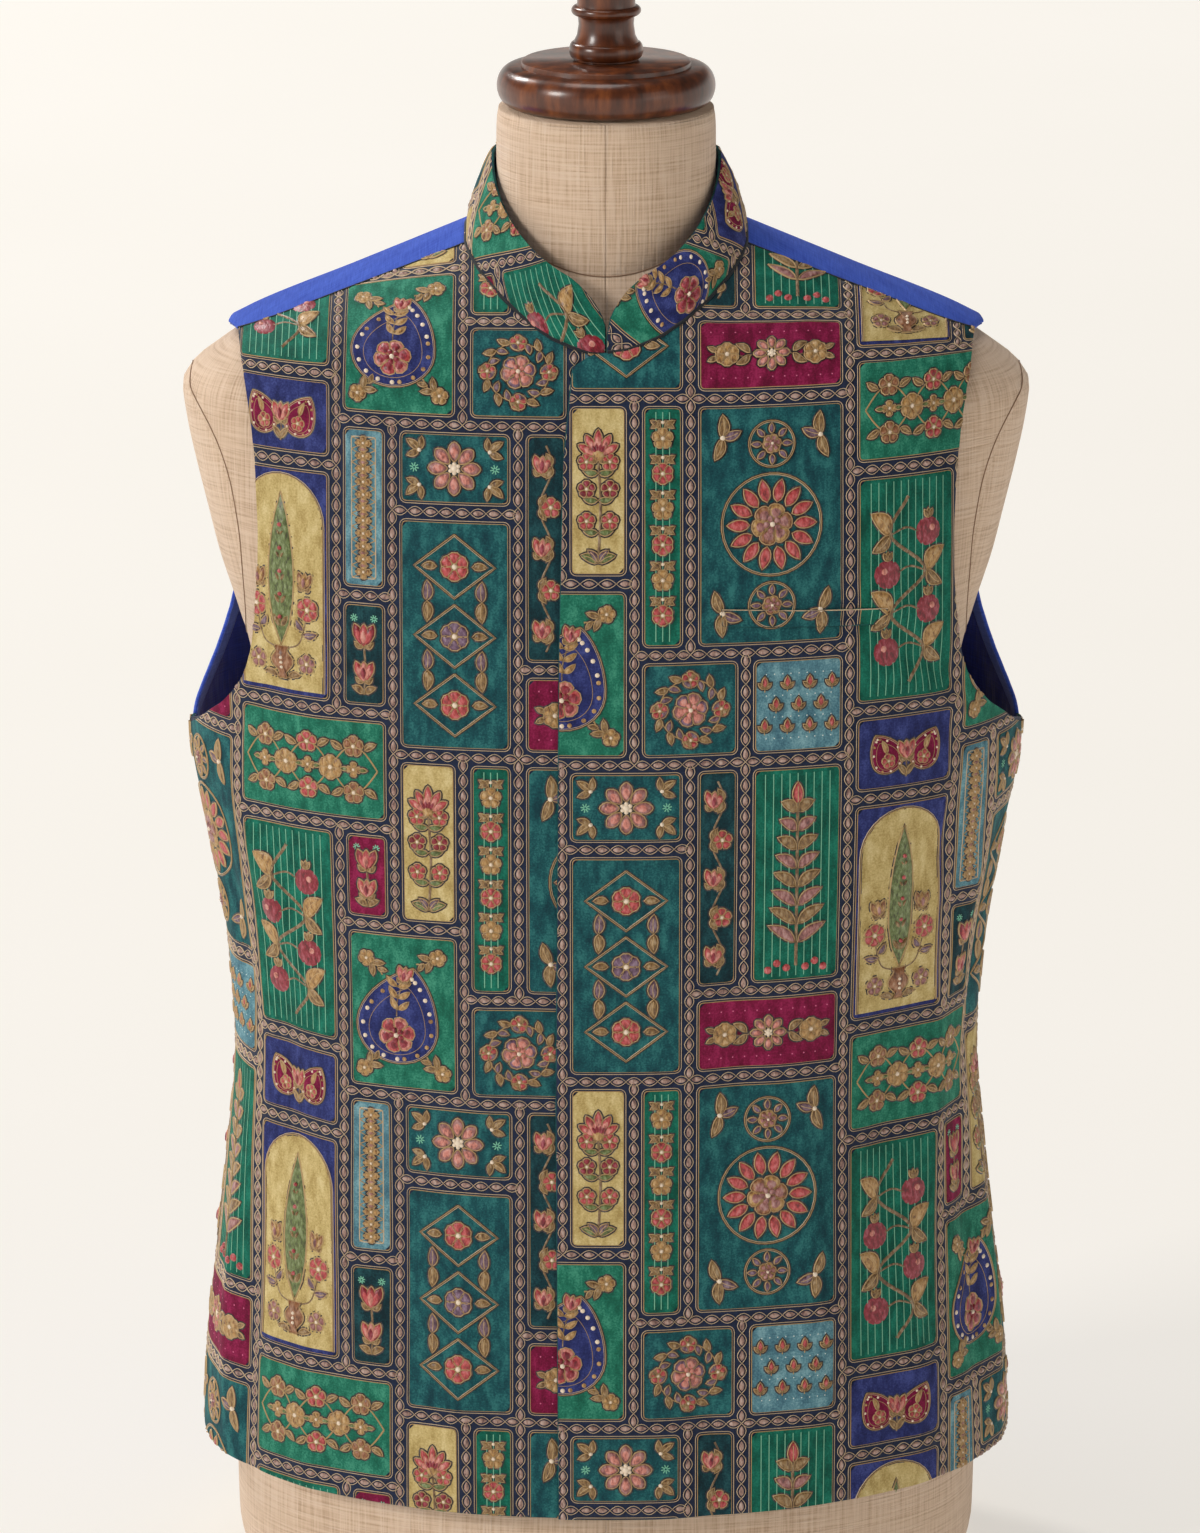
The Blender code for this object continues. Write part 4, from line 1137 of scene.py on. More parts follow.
def lay_ground(ink, kind, outline, height, step=GROUND_STEP):
    """A flat patch inside an outline, in small faces so that it follows the cloth."""
    low = complex(outline.real.min(), outline.imag.min())
    size = complex(outline.real.max(), outline.imag.max()) - low
    columns = max(2, int(math.ceil(size.real / step)) + 1)
    rows = max(2, int(math.ceil(size.imag / step)) + 1)
    across = np.linspace(low.real, low.real + size.real, columns)
    up = np.linspace(low.imag, low.imag + size.imag, rows)
    flat = (across[None] + 1j * up[:, None]).reshape(-1)
    points = np.stack([flat.real, flat.imag, np.full(flat.shape, height)], -1)
    quads = grid_quads(rows, columns)
    triangles = np.concatenate([quads[:, [0, 1, 2]], quads[:, [0, 2, 3]]])
    points, triangles = clip(points, triangles, distance_inside(flat, outline) + 1e-6)
    ink.add(kind, *used(points, triangles))


def double_cord(pen, path, closed=False):
    """Pair of fine cords along a path, over a dark ribbon that is their painted shadow."""
    path = np.asarray(path, complex)
    along = np.gradient(path)
    if closed:
        along = np.roll(path, -1) - np.roll(path, 1)
    aside = 1j * along / np.maximum(np.abs(along), 1e-9) * DOUBLE_CORD_GAP
    # the dark "shade" ribbon is a painted shadow under the cords
    pen.ribbon("shade", path, 1.5, 0.15, closed=closed)
    pen.cord("cord_gold", path, 0.65, 0.75, closed=closed)
    pen.cord("cord_pale", path + aside, 0.45, 0.5, closed=closed)


# Motifs. Each draws round its panel's middle, inside the half size given.


def niche(pen, half):
    """Cream niche with a round head, and a cypress that grows from a vase between two sprays."""
    wide, high = half.real - 1.0, half.imag - 1.0
    spring = high - wide
    head = arc(complex(0.0, spring), wide, 90, 0, 9)
    right = np.concatenate([head, [complex(wide, spring - 1.0), complex(wide, -high)]])
    outline = np.concatenate([-np.conj(right[::-1]), right[1:]])
    lay_ground(pen.ink, "ground_cream", pen.put(outline), GROUND_HEIGHT + 0.15, 2.2)
    double_cord(pen, outline)
    raised = pen.at(0)
    foot = -high + 5
    profile = ((3.2, 0), (1.7, 2.6), (5.6, 7.0), (6.2, 10.5), (3.2, 14.5), (4.4, 17.0))
    vase = curve([complex(x, foot + y) for x, y in profile], 4)
    vase = np.concatenate([vase, -np.conj(vase[::-1])])
    raised.dome("petal_bronze", vase, 1.6)
    raised.edging(vase)
    for up in (6.0, 8.5, 11.0):
        raised.bead("pearl", complex(0, foot + up), 0.9, 0.9, base=1.4)
    crown = foot + 17.5
    tall = high - 9.0 - crown
    raised.leaf("leaf_green", complex(0, crown), 90, tall, 15.5, 0.0, 1.4, vein=False)
    for share in (0.12, 0.27, 0.42, 0.57, 0.72):
        here = complex(0.3, crown + tall * share)
        reach = 7.2 * (1.15 - share)
        for side in raised.both():
            side.leaf("leaf_gold", here, 56, reach, reach * 0.42, 0.3, 2.2, vein=False)
        raised.bead("petal_coral", complex(0, here.imag + 5.2), 1.15, 1.2, base=1.4)
    for side in raised.both():
        side.stem([complex(3.6, foot + 16), complex(11, foot + 20), complex(15.5, foot + 34)], 1.1)
        side.blossom(complex(15.6, foot + 37), 6.4, "petal_coral", 6)
        side.leaf("leaf_mauve", complex(12.8, foot + 24), 8, 8.6, 3.8, -0.8)
        side.leaf("leaf_mauve", complex(13.4, foot + 26), 128, 7.4, 3.4, 0.8, vein=False)
        side.blossom(complex(14.6, foot + 9), 5.2, "petal_rose", 5)
        side.leaf("leaf_gold", complex(3.0, foot + 1), 12, 8.5, 3.2, 0.8, vein=False)
        side.tulip(complex(13.6, foot + 47), 84, 9.5, BRONZE)


def bud_panel(pen, half):
    """Two tulips, one over the other, above a pair of leaves and between two sparks."""
    wide, high = half.real, half.imag
    pen.stem([complex(0, -high + 3), complex(0.6, -high * 0.3), complex(0, high * 0.16)], 1.2)
    size = min(high * 0.62, wide * 1.5)
    pen.tulip(complex(0, high * 0.16), 90, size, DEEP)
    pen.tulip(complex(0, -high * 0.60), 90, size * 0.9, CORAL)
    for side in pen.both():
        side.leaf("leaf_gold", complex(0.3, -high + 3.5), 30, wide * 0.82, 3.4, 0.8, vein=False)
    pen.spark(complex(-wide * 0.62, high * 0.78), 2.0)
    pen.spark(complex(wide * 0.62, high * 0.78), 2.0)


def lattice_strip(pen, half):
    """Diamond lattice of fine cord with a bead in each mesh."""
    wide, high = half.real - 2.2, half.imag - 2.2
    pen.cord("cord_pale", rounded_box(complex(wide, high), 1.5), 0.6, 0.4, closed=True)
    rows = max(3, int(round(high / wide * 2)))
    pitch = 2 * high / rows
    for row in range(rows):
        low = -high + row * pitch
        pen.cord("cord_gold", [complex(-wide, low), complex(wide, low + pitch)], 0.55, 0.4)
        pen.cord("cord_gold", [complex(wide, low), complex(-wide, low + pitch)], 0.55, 0.4)
        middle = complex(0, low + pitch / 2)
        pen.blossom(middle, 3.6, "petal_gold", 4)
        if row:
            pen.leaf("petal_rose", complex(-2.4, low), 0, 4.8, 2.2, vein=False)
        for side in (-1, 1):
            pen.bead("cord_gold", complex(side * wide * 0.62, low + pitch / 2), 0.8, 0.7, 7)


def lozenge_ladder(pen, half):
    """Three lozenges of double cord, one over another, each round a blossom."""
    wide, high = half.real - 3.0, half.imag - 3.0
    rise = high / 3
    for level in (-2, 0, 2):
        middle = complex(0, rise * level)
        corners = ((0, 0.92), (-0.92, 0), (0, -0.92), (0.92, 0), (0, 0.92))
        points = [middle + complex(wide * x, rise * y) for x, y in corners]
        double_cord(pen, fine(points, 4.0))
        pen.blossom(middle, 7.4, "petal_coral" if level else "petal_mauve", 6)
        for side in pen.both():
            side.leaf("leaf_gold", middle + complex(9.0, 0), 0, 7.6, 3.8, 0.4, vein=False)
    for level in (-1, 1):
        for side in pen.both():
            side.leaf("leaf_mauve", complex(wide * 0.62, rise * level), 90, 10.5, 5.0, 0.6)
            side.leaf("leaf_gold", complex(wide * 0.62, rise * level), 270, 10.5, 5.0, -0.6)


def cartouche(pen, half):
    """Garland of three flowers joined by leaves."""
    wide = half.real
    pen.rosette(0, 9.4, 0.6)
    for side in pen.both():
        side.stem([complex(8.6, 0), complex(13.5, -1.6), complex(18.5, 0)], 0.9)
        side.blossom(complex(22.6, 0), 6.4, "petal_gold", 6)
        for lean in (1, -1):
            inner = complex(11.0, lean * 0.6)
            side.leaf("leaf_gold", inner, lean * 34, 8.4, 3.4, lean * 0.9, vein=False)
            side.leaf("leaf_gold", complex(27.4, lean * 1.6), lean * 24, 5.4, 2.6, vein=False)
    for across in np.arange(-wide + 4, wide - 3, 6.2):
        for up in np.arange(-half.imag + 4, half.imag - 3, 6.2):
            if abs(up) > half.imag * 0.55:
                pen.bead("faint_pink", complex(across, up), 0.45, 0.15, 5)


def vine_strip(pen, half):
    """Climbing stem that swings from side to side, with a flower in each bay."""
    high = half.imag - 3
    swing = half.real * 0.42
    bays = max(3, int(round(high / 10)))
    up = np.linspace(-high, high, bays * 12 + 1)
    phase = (up + high) / (2 * high) * bays * math.pi
    pen.cord("stem", swing * np.sin(phase) + 1j * up, 1.1, 0.6)
    for bay in range(bays):
        level = -high + (bay + 0.5) * 2 * high / bays
        side = pen if bay % 2 else pen.mirrored()
        reach = swing + 1.2
        place = complex(reach * 0.55, level)
        if bay % 2:
            side.blossom(place, 5.2, "petal_coral", 5)
        else:
            side.tulip(place - 4.4j, 96, 10.5, CORAL)
        side.leaf_pair("leaf_gold", complex(-swing * 0.9, level), 66, 7.0, 3.2, 0.6)


def stripes(pen, half, pitch=4.2):
    """Fine pale lines down the panel, painted flat."""
    count = int((half.real - 1.2) * 2 / pitch)
    for k in range(count):
        across = (k - (count - 1) / 2) * pitch
        line = [complex(across, -half.imag + 0.6), complex(across, half.imag - 0.6)]
        pen.ribbon("faint_stripe", line, 0.45, 0.16, step=3.0)


def fern(pen, half):
    """Tall frond: pairs of leaves that grow shorter towards a tip, with berries at its foot."""
    wide, high = half.real, half.imag
    stripes(pen, half)
    pen.stem([complex(0, -high + 6), complex(0, 0), complex(0, high - 16)], 1.7)
    for k, level in enumerate(np.linspace(-0.66, 0.62, 8)):
        for side in pen.both():
            reach = wide * (0.86 - 0.055 * k)
            kind = "leaf_gold" if k % 2 else "petal_rose"
            side.leaf(kind, complex(0.5, high * level), 34, reach, 5.6, 1.2, vein=False)
    pen.leaf("petal_coral", complex(0, high - 17), 90, 12.0, 5.6)
    for side in pen.both():
        for across, up in ((5.0, 5.0), (10.0, 7.6), (14.6, 4.2)):
            side.bead("petal_coral", complex(across, -high + up), 2.1, 1.4)


def rosette_panel(pen, half):
    """Eight-petalled rosette with a spray in each corner."""
    pen.rosette(0, min(half.imag * 0.86, 14.5), 0.5)
    for flip in pen.both():
        for degrees, up in ((38, 1), (-38, -1)):
            corner = complex(half.real * 0.70, up * half.imag * 0.56)
            flip.leaf("leaf_gold", corner, degrees, 8.4, 3.6, 0.5)
            flip.leaf("leaf_gold", corner, degrees + 62, 7.2, 3.2, 0.4)
            flip.leaf("leaf_gold", corner, degrees - 62, 7.2, 3.2, -0.4)
            flip.bead("pearl", corner, 1.2, 1.3)
        flip.spark(complex(half.real * 0.80, 0), 2.4)


def boteh(pen, height, plain=False):
    """Paisley with beads along its edge and a flower in its round foot."""
    shape = boteh_shape(height)
    shift = complex(-0.05 * height, 0)
    body = pen.at(shift)
    ground = "ground_magenta" if plain else "ground_indigo"
    lay_ground(pen.ink, ground, body.put(shape), GROUND_HEIGHT + 0.2, 2.2)
    double_cord(body, shape, closed=True)
    foot = complex(0.0, -0.20 * height)
    inner = foot + (shape - foot) * 0.70
    body.cord("cord_gold", inner, 0.5, 0.45, closed=True)
    count = 12 if plain else 22
    for k in np.linspace(0, len(shape), count, endpoint=False).astype(int):
        spot = foot + (shape[k] - foot) * 0.85
        body.bead("petal_gold" if k % 2 else "pearl", spot, height * 0.016 + 0.35, 0.9, 7)
    if plain:
        body.blossom(foot, height * 0.15, "petal_coral")
        body.leaf("petal_gold", foot + 0.15j * height, 82, height * 0.30, height * 0.10, 0.5)
        return
    body.rose(foot, height * 0.155, CORAL)
    bends = (0.16j, complex(0.01, 0.30), complex(0.07, 0.50))
    body.stem([foot + bend * height for bend in bends], 1.1)
    for level, degrees in ((0.22, 40), (0.32, 48), (0.42, 60)):
        for side in (1, -1):
            place = foot + complex(0.012, level) * height
            lean = 90 + side * degrees - 12
            body.leaf("petal_gold", place, lean, height * 0.125, height * 0.048, side * 0.5)
    body.tulip(foot + complex(0.06, 0.46) * height, 78, height * 0.15, CORAL)


def boteh_on_green(pen, half):
    """Large paisley with small sprays in the corners of its panel."""
    boteh(pen, min(half.imag * 1.62, half.real * 2.35))
    corners = ((0.72, 0.78, 205), (0.80, -0.80, 140), (-0.80, -0.82, 40), (-0.72, 0.70, -40))
    for across, up, degrees in corners:
        place = complex(half.real * across, half.imag * up)
        spray = pen.at(place, degrees)
        spray.cord("cord_gold", curve([0, 6 + 1j, 12 - 1j]), 0.9, 0.6)
        spray.leaf_pair("leaf_gold", 3.5, 42, 7.4, 3.0, vein=False)
        spray.leaf("leaf_gold", 8.0, 30, 5.4, 2.4, vein=False)
        spray.blossom(0, 4.4, "petal_gold")


def boteh_pair(pen, half):
    """Two small paisleys that lean away from a flower."""
    for side in pen.both():
        boteh(side.at(complex(half.real * 0.50, 0.4), -14), half.imag * 1.56, plain=True)
    pen.tulip(complex(0, -4.5), 90, 11.0, CORAL)
    pen.stem([complex(0, -half.imag + 3), complex(0.3, -9), complex(0, -4)], 1.1)
    for side in pen.both():
        side.leaf("leaf_gold", complex(0, -half.imag + 4), 50, 7.5, 2.8, 0.5)


def wreath(pen, half):
    """Ring of leaves with four small flowers on it, round one larger flower."""
    reach = min(half.real, half.imag) * 0.72
    pen.cord("cord_gold", arc(0, reach, 0, 345, 24), 0.8, 0.5, closed=True)
    for k in range(12):
        spoke = pen.at(reach * turned(30 * k + 15), 30 * k + 15)
        spoke.leaf("leaf_gold", 0, 58, 6.8, 3.2, 0.4, vein=False)
        spoke.leaf("leaf_mauve", 0, 214, 6.0, 3.0, 0.4, vein=False)
    for k in range(4):
        pen.blossom(reach * turned(90 * k), 4.4, "petal_coral")
    pen.rose(0, 8.6, MAUVE)


def sprig_grid(pen, half):
    """Rows of small sprigs, every other row set over."""
    pitch = 11.6
    rows = int(2 * half.imag / 11.0)
    for row in range(rows):
        up = (row - (rows - 1) / 2) * 11.0
        count = 4 if row % 2 == 0 else 3
        for k in range(count):
            place = complex((k - (count - 1) / 2) * pitch, up - 2)
            pen.cord("cord_gold", [place - 1.6j, place + 2j], 0.6, 0.4)
            pen.leaf("petal_coral", place, 90, 6.4, 3.0, vein=False)
            pen.leaf("leaf_gold", place, 42, 4.6, 2.0, vein=False)
            pen.leaf("leaf_gold", place, 138, 4.6, 2.0, vein=False)
    for row in range(rows + 1):
        up = (row - rows / 2) * 11.0
        for across in np.arange(-half.real + 4, half.real - 2, 4.2):
            pen.bead("faint_white", complex(across, up), 0.38, 0.12, 5)


def fruit_branch(pen, half):
    """Branch that winds upwards, with a round fruit and a leaf in each of its bends."""
    wide, high = half.real, half.imag
    stripes(pen, half)
    bends = ((0.0, -0.88), (0.40, -0.58), (-0.40, -0.22), (0.40, 0.14), (-0.40, 0.50), (0.0, 0.84))
    points = [complex(wide * across, high * up) for across, up in bends]
    pen.stem(points, 1.9)
    for point in points[1:-1]:
        side = pen if point.real > 0 else pen.mirrored()
        bend = complex(abs(point.real), point.imag)
        fruit = bend - complex(wide * 0.86, 0)
        side.stem([bend, bend - complex(wide * 0.36, -3.0), fruit + 5.0], 1.1)
        side.bead("petal_deep", fruit, 7.4, 0.9, 14)
        for degrees in (60, 90, 120):
            side.leaf("leaf_gold", fruit + 6.6 * turned(90), degrees, 5.0, 2.4, vein=False)
        # the small pale bead off the middle of each fruit is a painted highlight
        side.bead("petal_pink", fruit + complex(-2.0, 1.6), 1.7, 0.5, base=0.8)
        side.leaf("petal_gold", bend + 0.6, 48, wide * 0.60, 8.4, 2.2)
        side.leaf("leaf_gold", bend + 0.6, -40, wide * 0.48, 6.0, -1.4)


def small_plant(pen, half):
    """Slim plant of small flowers for a narrow panel."""
    wide, high = half.real, half.imag
    pen.stem([complex(0, -high + 4), complex(1.2, -high * 0.2), complex(0, high * 0.40)], 1.4)
    pen.lotus(complex(0, high * 0.42), 90, 14.0, CORAL)
    for level, flower in ((-0.52, "petal_coral"), (-0.12, "petal_deep"), (0.22, "petal_coral")):
        for side in pen.both():
            foot = complex(0, high * level)
            tip = foot + complex(wide * 0.50, high * 0.14)
            side.stem([foot, foot + complex(wide * 0.30, high * 0.03), tip], 0.9)
            side.blossom(tip, 4.5, flower)
            side.leaf("leaf_green", foot, 6, 7.6, 3.2, -0.5)
    for side in pen.both():
        side.leaf("leaf_green", complex(0.3, -high + 4), 24, wide * 0.80, 4.2, 1.0)
        side.leaf("leaf_mauve", complex(0.3, -high + 4), 52, wide * 0.70, 3.6, 0.8)


def blossom_strip(pen, half):
    """Column of blossoms between pairs of leaves."""
    stripes(pen, half, 3.4)
    high = half.imag - 5
    count = max(3, int(round(high / 9.5)))
    for k in range(count):
        level = -high + (k + 0.5) * 2 * high / count
        tone = "petal_coral" if k % 2 == 0 else "petal_gold"
        pen.blossom(complex(0, level), 5.4, tone, 6 if k % 2 == 0 else 5)
        for side in pen.both():
            side.leaf("leaf_gold", complex(1.0, level + 5.0), 38, 6.6, 2.7, 0.5)
            side.leaf("leaf_gold", complex(1.0, level + 9.0), -38, 6.2, 2.5, -0.5)
        pen.bead("pearl", complex(0, level + 8.0), 1.0, 1.0)


def medallions(pen, half):
    """Large round medallion between two small ones, with leaves in the corners."""
    wide, high = half.real, half.imag
    rows = ((0.0, 0.74, 14, "petal_coral"),)
    rows += tuple((level, 0.34, 8, "petal_mauve") for level in (0.70, -0.70))
    for level, share, petals, kind in rows:
        middle, reach = complex(0, high * level), wide * share
        double_cord(pen, arc(middle, reach, 0, 360, 36))
        for k in range(petals):
            spoke = pen.at(middle, 360 * k / petals)
            spoke.leaf(kind, reach * 0.44, 0, reach * 0.46, reach * 0.22, 0.2, vein=False)
        pen.rose(middle, reach * 0.40, BRONZE)
    for side in pen.both():
        for up in (1, -1):
            corner = complex(wide * 0.72, high * 0.76 * up)
            side.leaf("leaf_gold", corner, 90 * up, 12.0, 5.4, 0.8)
            side.leaf("leaf_mauve", corner, 160 * up, 10.0, 4.6, 0.6)
            side.leaf("leaf_gold", corner, -70 * up, 12.0, 5.0, -0.8)
            side.bead("pearl", corner, 1.5, 1.4)


def trellis(pen, half):
    """Two waving vines that cross, with a gold blossom at each crossing."""
    wide, high = half.real - 2, half.imag - 2
    bays = 3
    across = np.linspace(-wide, wide, bays * 16 + 1)
    phase = (across + wide) / (2 * wide) * bays * math.pi
    swing = high * 0.56
    for sign in (1, -1):
        pen.cord("cord_gold", across + 1j * sign * swing * np.sin(phase), 0.9, 0.55)
    for bay in range(1, bays):
        pen.blossom(complex(-wide + bay * 2 * wide / bays, 0), 6.6, "petal_gold", 6)
    for bay in range(bays):
        middle = -wide + (bay + 0.5) * 2 * wide / bays
        for sign in (1, -1):
            pen.blossom(complex(middle, sign * swing), 5.6, "petal_coral" if bay % 2 else "petal_bronze")
            for shift, degrees in ((-9.5, 150), (9.5, 30)):
                place = complex(middle + shift * 0.62, sign * swing * 0.86)
                pen.leaf("leaf_gold", place, sign * degrees, 7.4, 3.4, 0.6)
        pen.blossom(complex(middle, 0), 4.0, "petal_gold", 4)
        for shift, degrees in ((2.6, 0), (-2.6, 180)):
            pen.leaf("leaf_green", complex(middle + shift, 0), degrees, 5.0, 2.2, vein=False)


# The panels of one repeat, in millimetres
CELL_COLUMNS = ("left", "bottom", "right", "top", "ground", "motif")
CELLS = (
    (0, 0, 64, 124, "ground_indigo", niche),
    (64, 0, 94, 60, "ground_dark", bud_panel),
    (64, 60, 94, 148, "ground_sky", lattice_strip),
    (94, -20, 158, 104, "ground_teal", lozenge_ladder),
    (158, -20, 240, 26, "ground_magenta", cartouche),
    (158, 26, 186, 148, "ground_dark", vine_strip),
    (186, 26, 240, 148, "ground_stripe", fern),
    (94, 104, 158, 148, "ground_teal", rosette_panel),
    (0, 124, 64, 170, "ground_indigo", boteh_pair),
    (64, 148, 130, 240, "ground_green", boteh_on_green),
    (130, 148, 186, 204, "ground_teal", wreath),
    (186, 148, 240, 204, "ground_sky", sprig_grid),
    (0, 170, 64, 292, "ground_stripe", fruit_branch),
    (64, 240, 94, 292, "ground_magenta", bud_panel),
    (94, 240, 130, 332, "ground_cream", small_plant),
    (130, 204, 158, 332, "ground_stripe", blossom_strip),
    (158, 204, 240, 332, "ground_teal", medallions),
    (0, 292, 94, 352, "ground_green", trellis),
)


def chain(pen, start, end):
    """Row of lens-shaped links down the middle of a band, each round a padded seed."""
    length = abs(end - start)
    links = max(1, round(length / CHAIN_PITCH))
    pitch = length / links
    lane = pen.at(start, math.degrees(np.angle(end - start)))
    along = np.linspace(0, length, links * 6 + 1)
    wave = CHAIN_HALF_WIDTH * np.abs(np.sin(math.pi * along / pitch)) ** 0.9
    for sign in (1, -1):
        lane.cord("cord_pale", along + 1j * sign * wave, 0.42, 0.6)
    for link in range(links):
        seed = (link + 0.5) * pitch + (leaf_shape(5.6, 2.7, 0.0, 12) - 2.8)
        lane.dome("chain_seed", seed, 0.9, 0.0, (0.6,))


def cell_ink(cell):
    """Everything printed on one cell of the patchwork, in the repeat's own place."""
    ink = Ink()
    low = complex(cell["left"], cell["bottom"])
    high = complex(cell["right"], cell["top"])
    half = (high - low) / 2
    pen = Pen(ink, (low + high) / 2)
    inset = 1 + 1j
    panel = rounded_box(half - PANEL_INSET * inset, PANEL_CORNER)
    lay_ground(ink, cell["ground"], pen.put(panel), GROUND_HEIGHT)
    pen.cord("cord_gold", panel, 0.55, 0.5, closed=True)
    frame = rounded_box(half - FRAME_INSET * inset, FRAME_CORNER)
    pen.cord("cord_pale", frame, 0.4, 0.4, closed=True)
    raised = Pen(ink, pen.origin, base=GROUND_HEIGHT)
    cell["motif"](raised, half - MOTIF_INSET * inset)
    lane = Pen(ink)
    chain(lane, low, complex(high.real, low.imag))
    chain(lane, low, complex(low.real, high.imag))
    return ink


def repeat_ink():
    """Flat work of one whole repeat: a list of cells, each with its box and its arrays."""
    cells = []
    for row in CELLS:
        cell = dict(zip(CELL_COLUMNS, row))
        cells.append((cell, cell_ink(cell).arrays()))
    return cells


class Printing:
    """How the patchwork lies on a piece: the repeat's point at the piece's origin, in millimetres,
    the turn of its grain, and an outline that another piece covers."""

    def __init__(self, cloth, offset, degrees=0.0, covered=None):
        self.cloth = cloth
        self.offset = offset
        self.turn = turned(degrees)
        self.hand = cloth.hand[0]
        self.outline = self.to_print(cloth.outline())
        margin = PRINT_MARGIN * (1 + 1j)
        self.low = complex(self.outline.real.min(), self.outline.imag.min()) - margin
        self.high = complex(self.outline.real.max(), self.outline.imag.max()) + margin
        across = np.arange(self.low.real, self.high.real + PRINT_GRID, PRINT_GRID)
        up = np.arange(self.low.imag, self.high.imag + PRINT_GRID, PRINT_GRID)
        spots = across[None] + 1j * up[:, None]
        self.inside = distance_inside(spots, self.outline)
        if covered is not None:
            self.inside = np.minimum(self.inside, -distance_inside(spots, self.to_print(covered)))

    def to_print(self, flat):
        across = flat[..., 0] * self.hand
        return (across + 1j * flat[..., 1]) / MM * self.turn + self.offset

    def to_flat(self, points):
        back = (points - self.offset) / self.turn * MM
        return np.stack([back.real * self.hand, back.imag], -1)

    def room(self, points):
        """How far points lie inside the piece, from a table of spots."""
        column = (points.real - self.low.real) / PRINT_GRID
        row = (points.imag - self.low.imag) / PRINT_GRID
        outside = (column < 0) | (row < 0)
        outside |= (column > self.inside.shape[1] - 1) | (row > self.inside.shape[0] - 1)
        found = look_up(self.inside, np.maximum(column, 0), np.maximum(row, 0))
        return np.where(outside, -9.0, found)

    def gather(self, cells):
        """The piece's share of the repeats that cross it, cut to its outline."""
        ink = Ink()
        first = (self.low.real // REPEAT.real, self.low.imag // REPEAT.imag)
        last = (self.high.real // REPEAT.real, self.high.imag // REPEAT.imag)
        for column in range(int(first[0]) - 1, int(last[0]) + 2):
            for row in range(int(first[1]) - 1, int(last[1]) + 2):
                shift = complex(column * REPEAT.real, row * REPEAT.imag)
                for cell, arrays in cells:
                    low = complex(cell["left"], cell["bottom"]) + shift
                    high = complex(cell["right"], cell["top"]) + shift
                    if low.real > self.high.real or high.real < self.low.real:
                        continue
                    if low.imag > self.high.imag or high.imag < self.low.imag:
                        continue
                    for kind, (points, faces) in arrays.items():
                        moved = points + np.array([shift.real, shift.imag, 0.0])
                        room = self.room(moved[:, 0] + 1j * moved[:, 1])
                        if room.max() <= 0:
                            continue
                        moved, cut_faces = clip(moved, faces, room)
                        if len(cut_faces):
                            ink.add(kind, *used(moved, cut_faces))
        return ink.arrays()

    def apply(self, name, cells, groups, materials):
        """One object for each group of materials, wrapped on the piece."""
        arrays = self.gather(cells)
        made = []
        for group, kinds in groups.items():
            points, faces, slots, total = [], [], [], 0
            present = [kind for kind in kinds if kind in arrays]
            for slot, kind in enumerate(present):
                flat_points, flat_faces = arrays[kind]
                points.append(flat_points)
                faces.append(flat_faces + total)
                slots.append(np.full(len(flat_faces), slot))
                total += len(flat_points)
            if not points:
                continue
            points, faces = np.concatenate(points), np.concatenate(faces)
            flat = self.to_flat(points[:, 0] + 1j * points[:, 1])
            placed = self.cloth.wrap(flat, points[:, 2] * MM)
            if self.hand * self.cloth_side() < 0:
                faces = faces[:, ::-1]
            uv = np.stack([points[:, 0], points[:, 1]], -1) * MM
            used_materials = [materials[kind] for kind in present]
            slots = np.concatenate(slots)
            made.append(mesh_object(f"{name}_{group}", placed, [faces], used_materials, slots, uv))
        return made

    def cloth_side(self):
        """1 if across times up points out of the cloth on the body, -1 if it points in."""
        grid = self.cloth.grids[0]
        spot = grid[len(grid) // 2, grid.shape[1] // 2]
        near = np.array([spot, spot + [0.002, 0], spot + [0, 0.002]])
        a, b, c = self.cloth.wrap(near)
        out = self.cloth.wrap(near[:1], 0.001)[0] - a
        return math.copysign(1.0, np.dot(np.cross(b - a, c - a), out))


# --- Dress form -----------------------------------------------------------------------------

NECK_RADIUS = 0.0558
NECK_TOP = 0.7790
TORSO_SIDES = 200
TORSO_ROWS = 130
NECK_ROWS = 14
PLATE_CENTRE = (0.191, 0.0, 0.577)
PLATE_HALF_DEPTH = 0.055
PLATE_HALF_HEIGHT = 0.072
PLATE_TILT = math.radians(11.9)
PLATE_REACH = 0.060
PLATE_RINGS = 14
PLATE_SIDES = 96
PLATE_LIFT = 0.0004
PLATE_SINK = 0.0008
TUBE_SIDES = 8
FORM_TOP = 0.741
NECK_SEAM_FROM = 0.62
TORSO_FOOT_TOP = 0.03
NECK_SUNK = 0.004
NECK_TAPER = 0.0012
SEAM_RADIUS = 0.0003
CAP_RADIUS = 0.0555
CAP_HEIGHT = 0.0235
DISC_RADIUS = 0.0430
DISC_STEP = 0.0026
FINIAL_FOOT_RADIUS = 0.0165
FINIAL_NECK_RADIUS = 0.0147
FINIAL_KNOB_RADIUS = 0.0175
FINIAL_KNOB_FOOT = 0.0105
LATHE_SIDES = 128


def ring_radius(rings, level, angle):
    """Distance from the axis to a body of rings, in a level direction."""
    cosine, sine = np.abs(np.cos(angle)), np.abs(np.sin(angle))
    exponent = rings.column("exponent", level)
    depth = np.where(np.sin(angle) < 0, rings.column("front", level), rings.column("back", level))
    total = (cosine / rings.column("half_width", level)) ** exponent + (sine / depth) ** exponent
    return total ** (-1 / exponent)


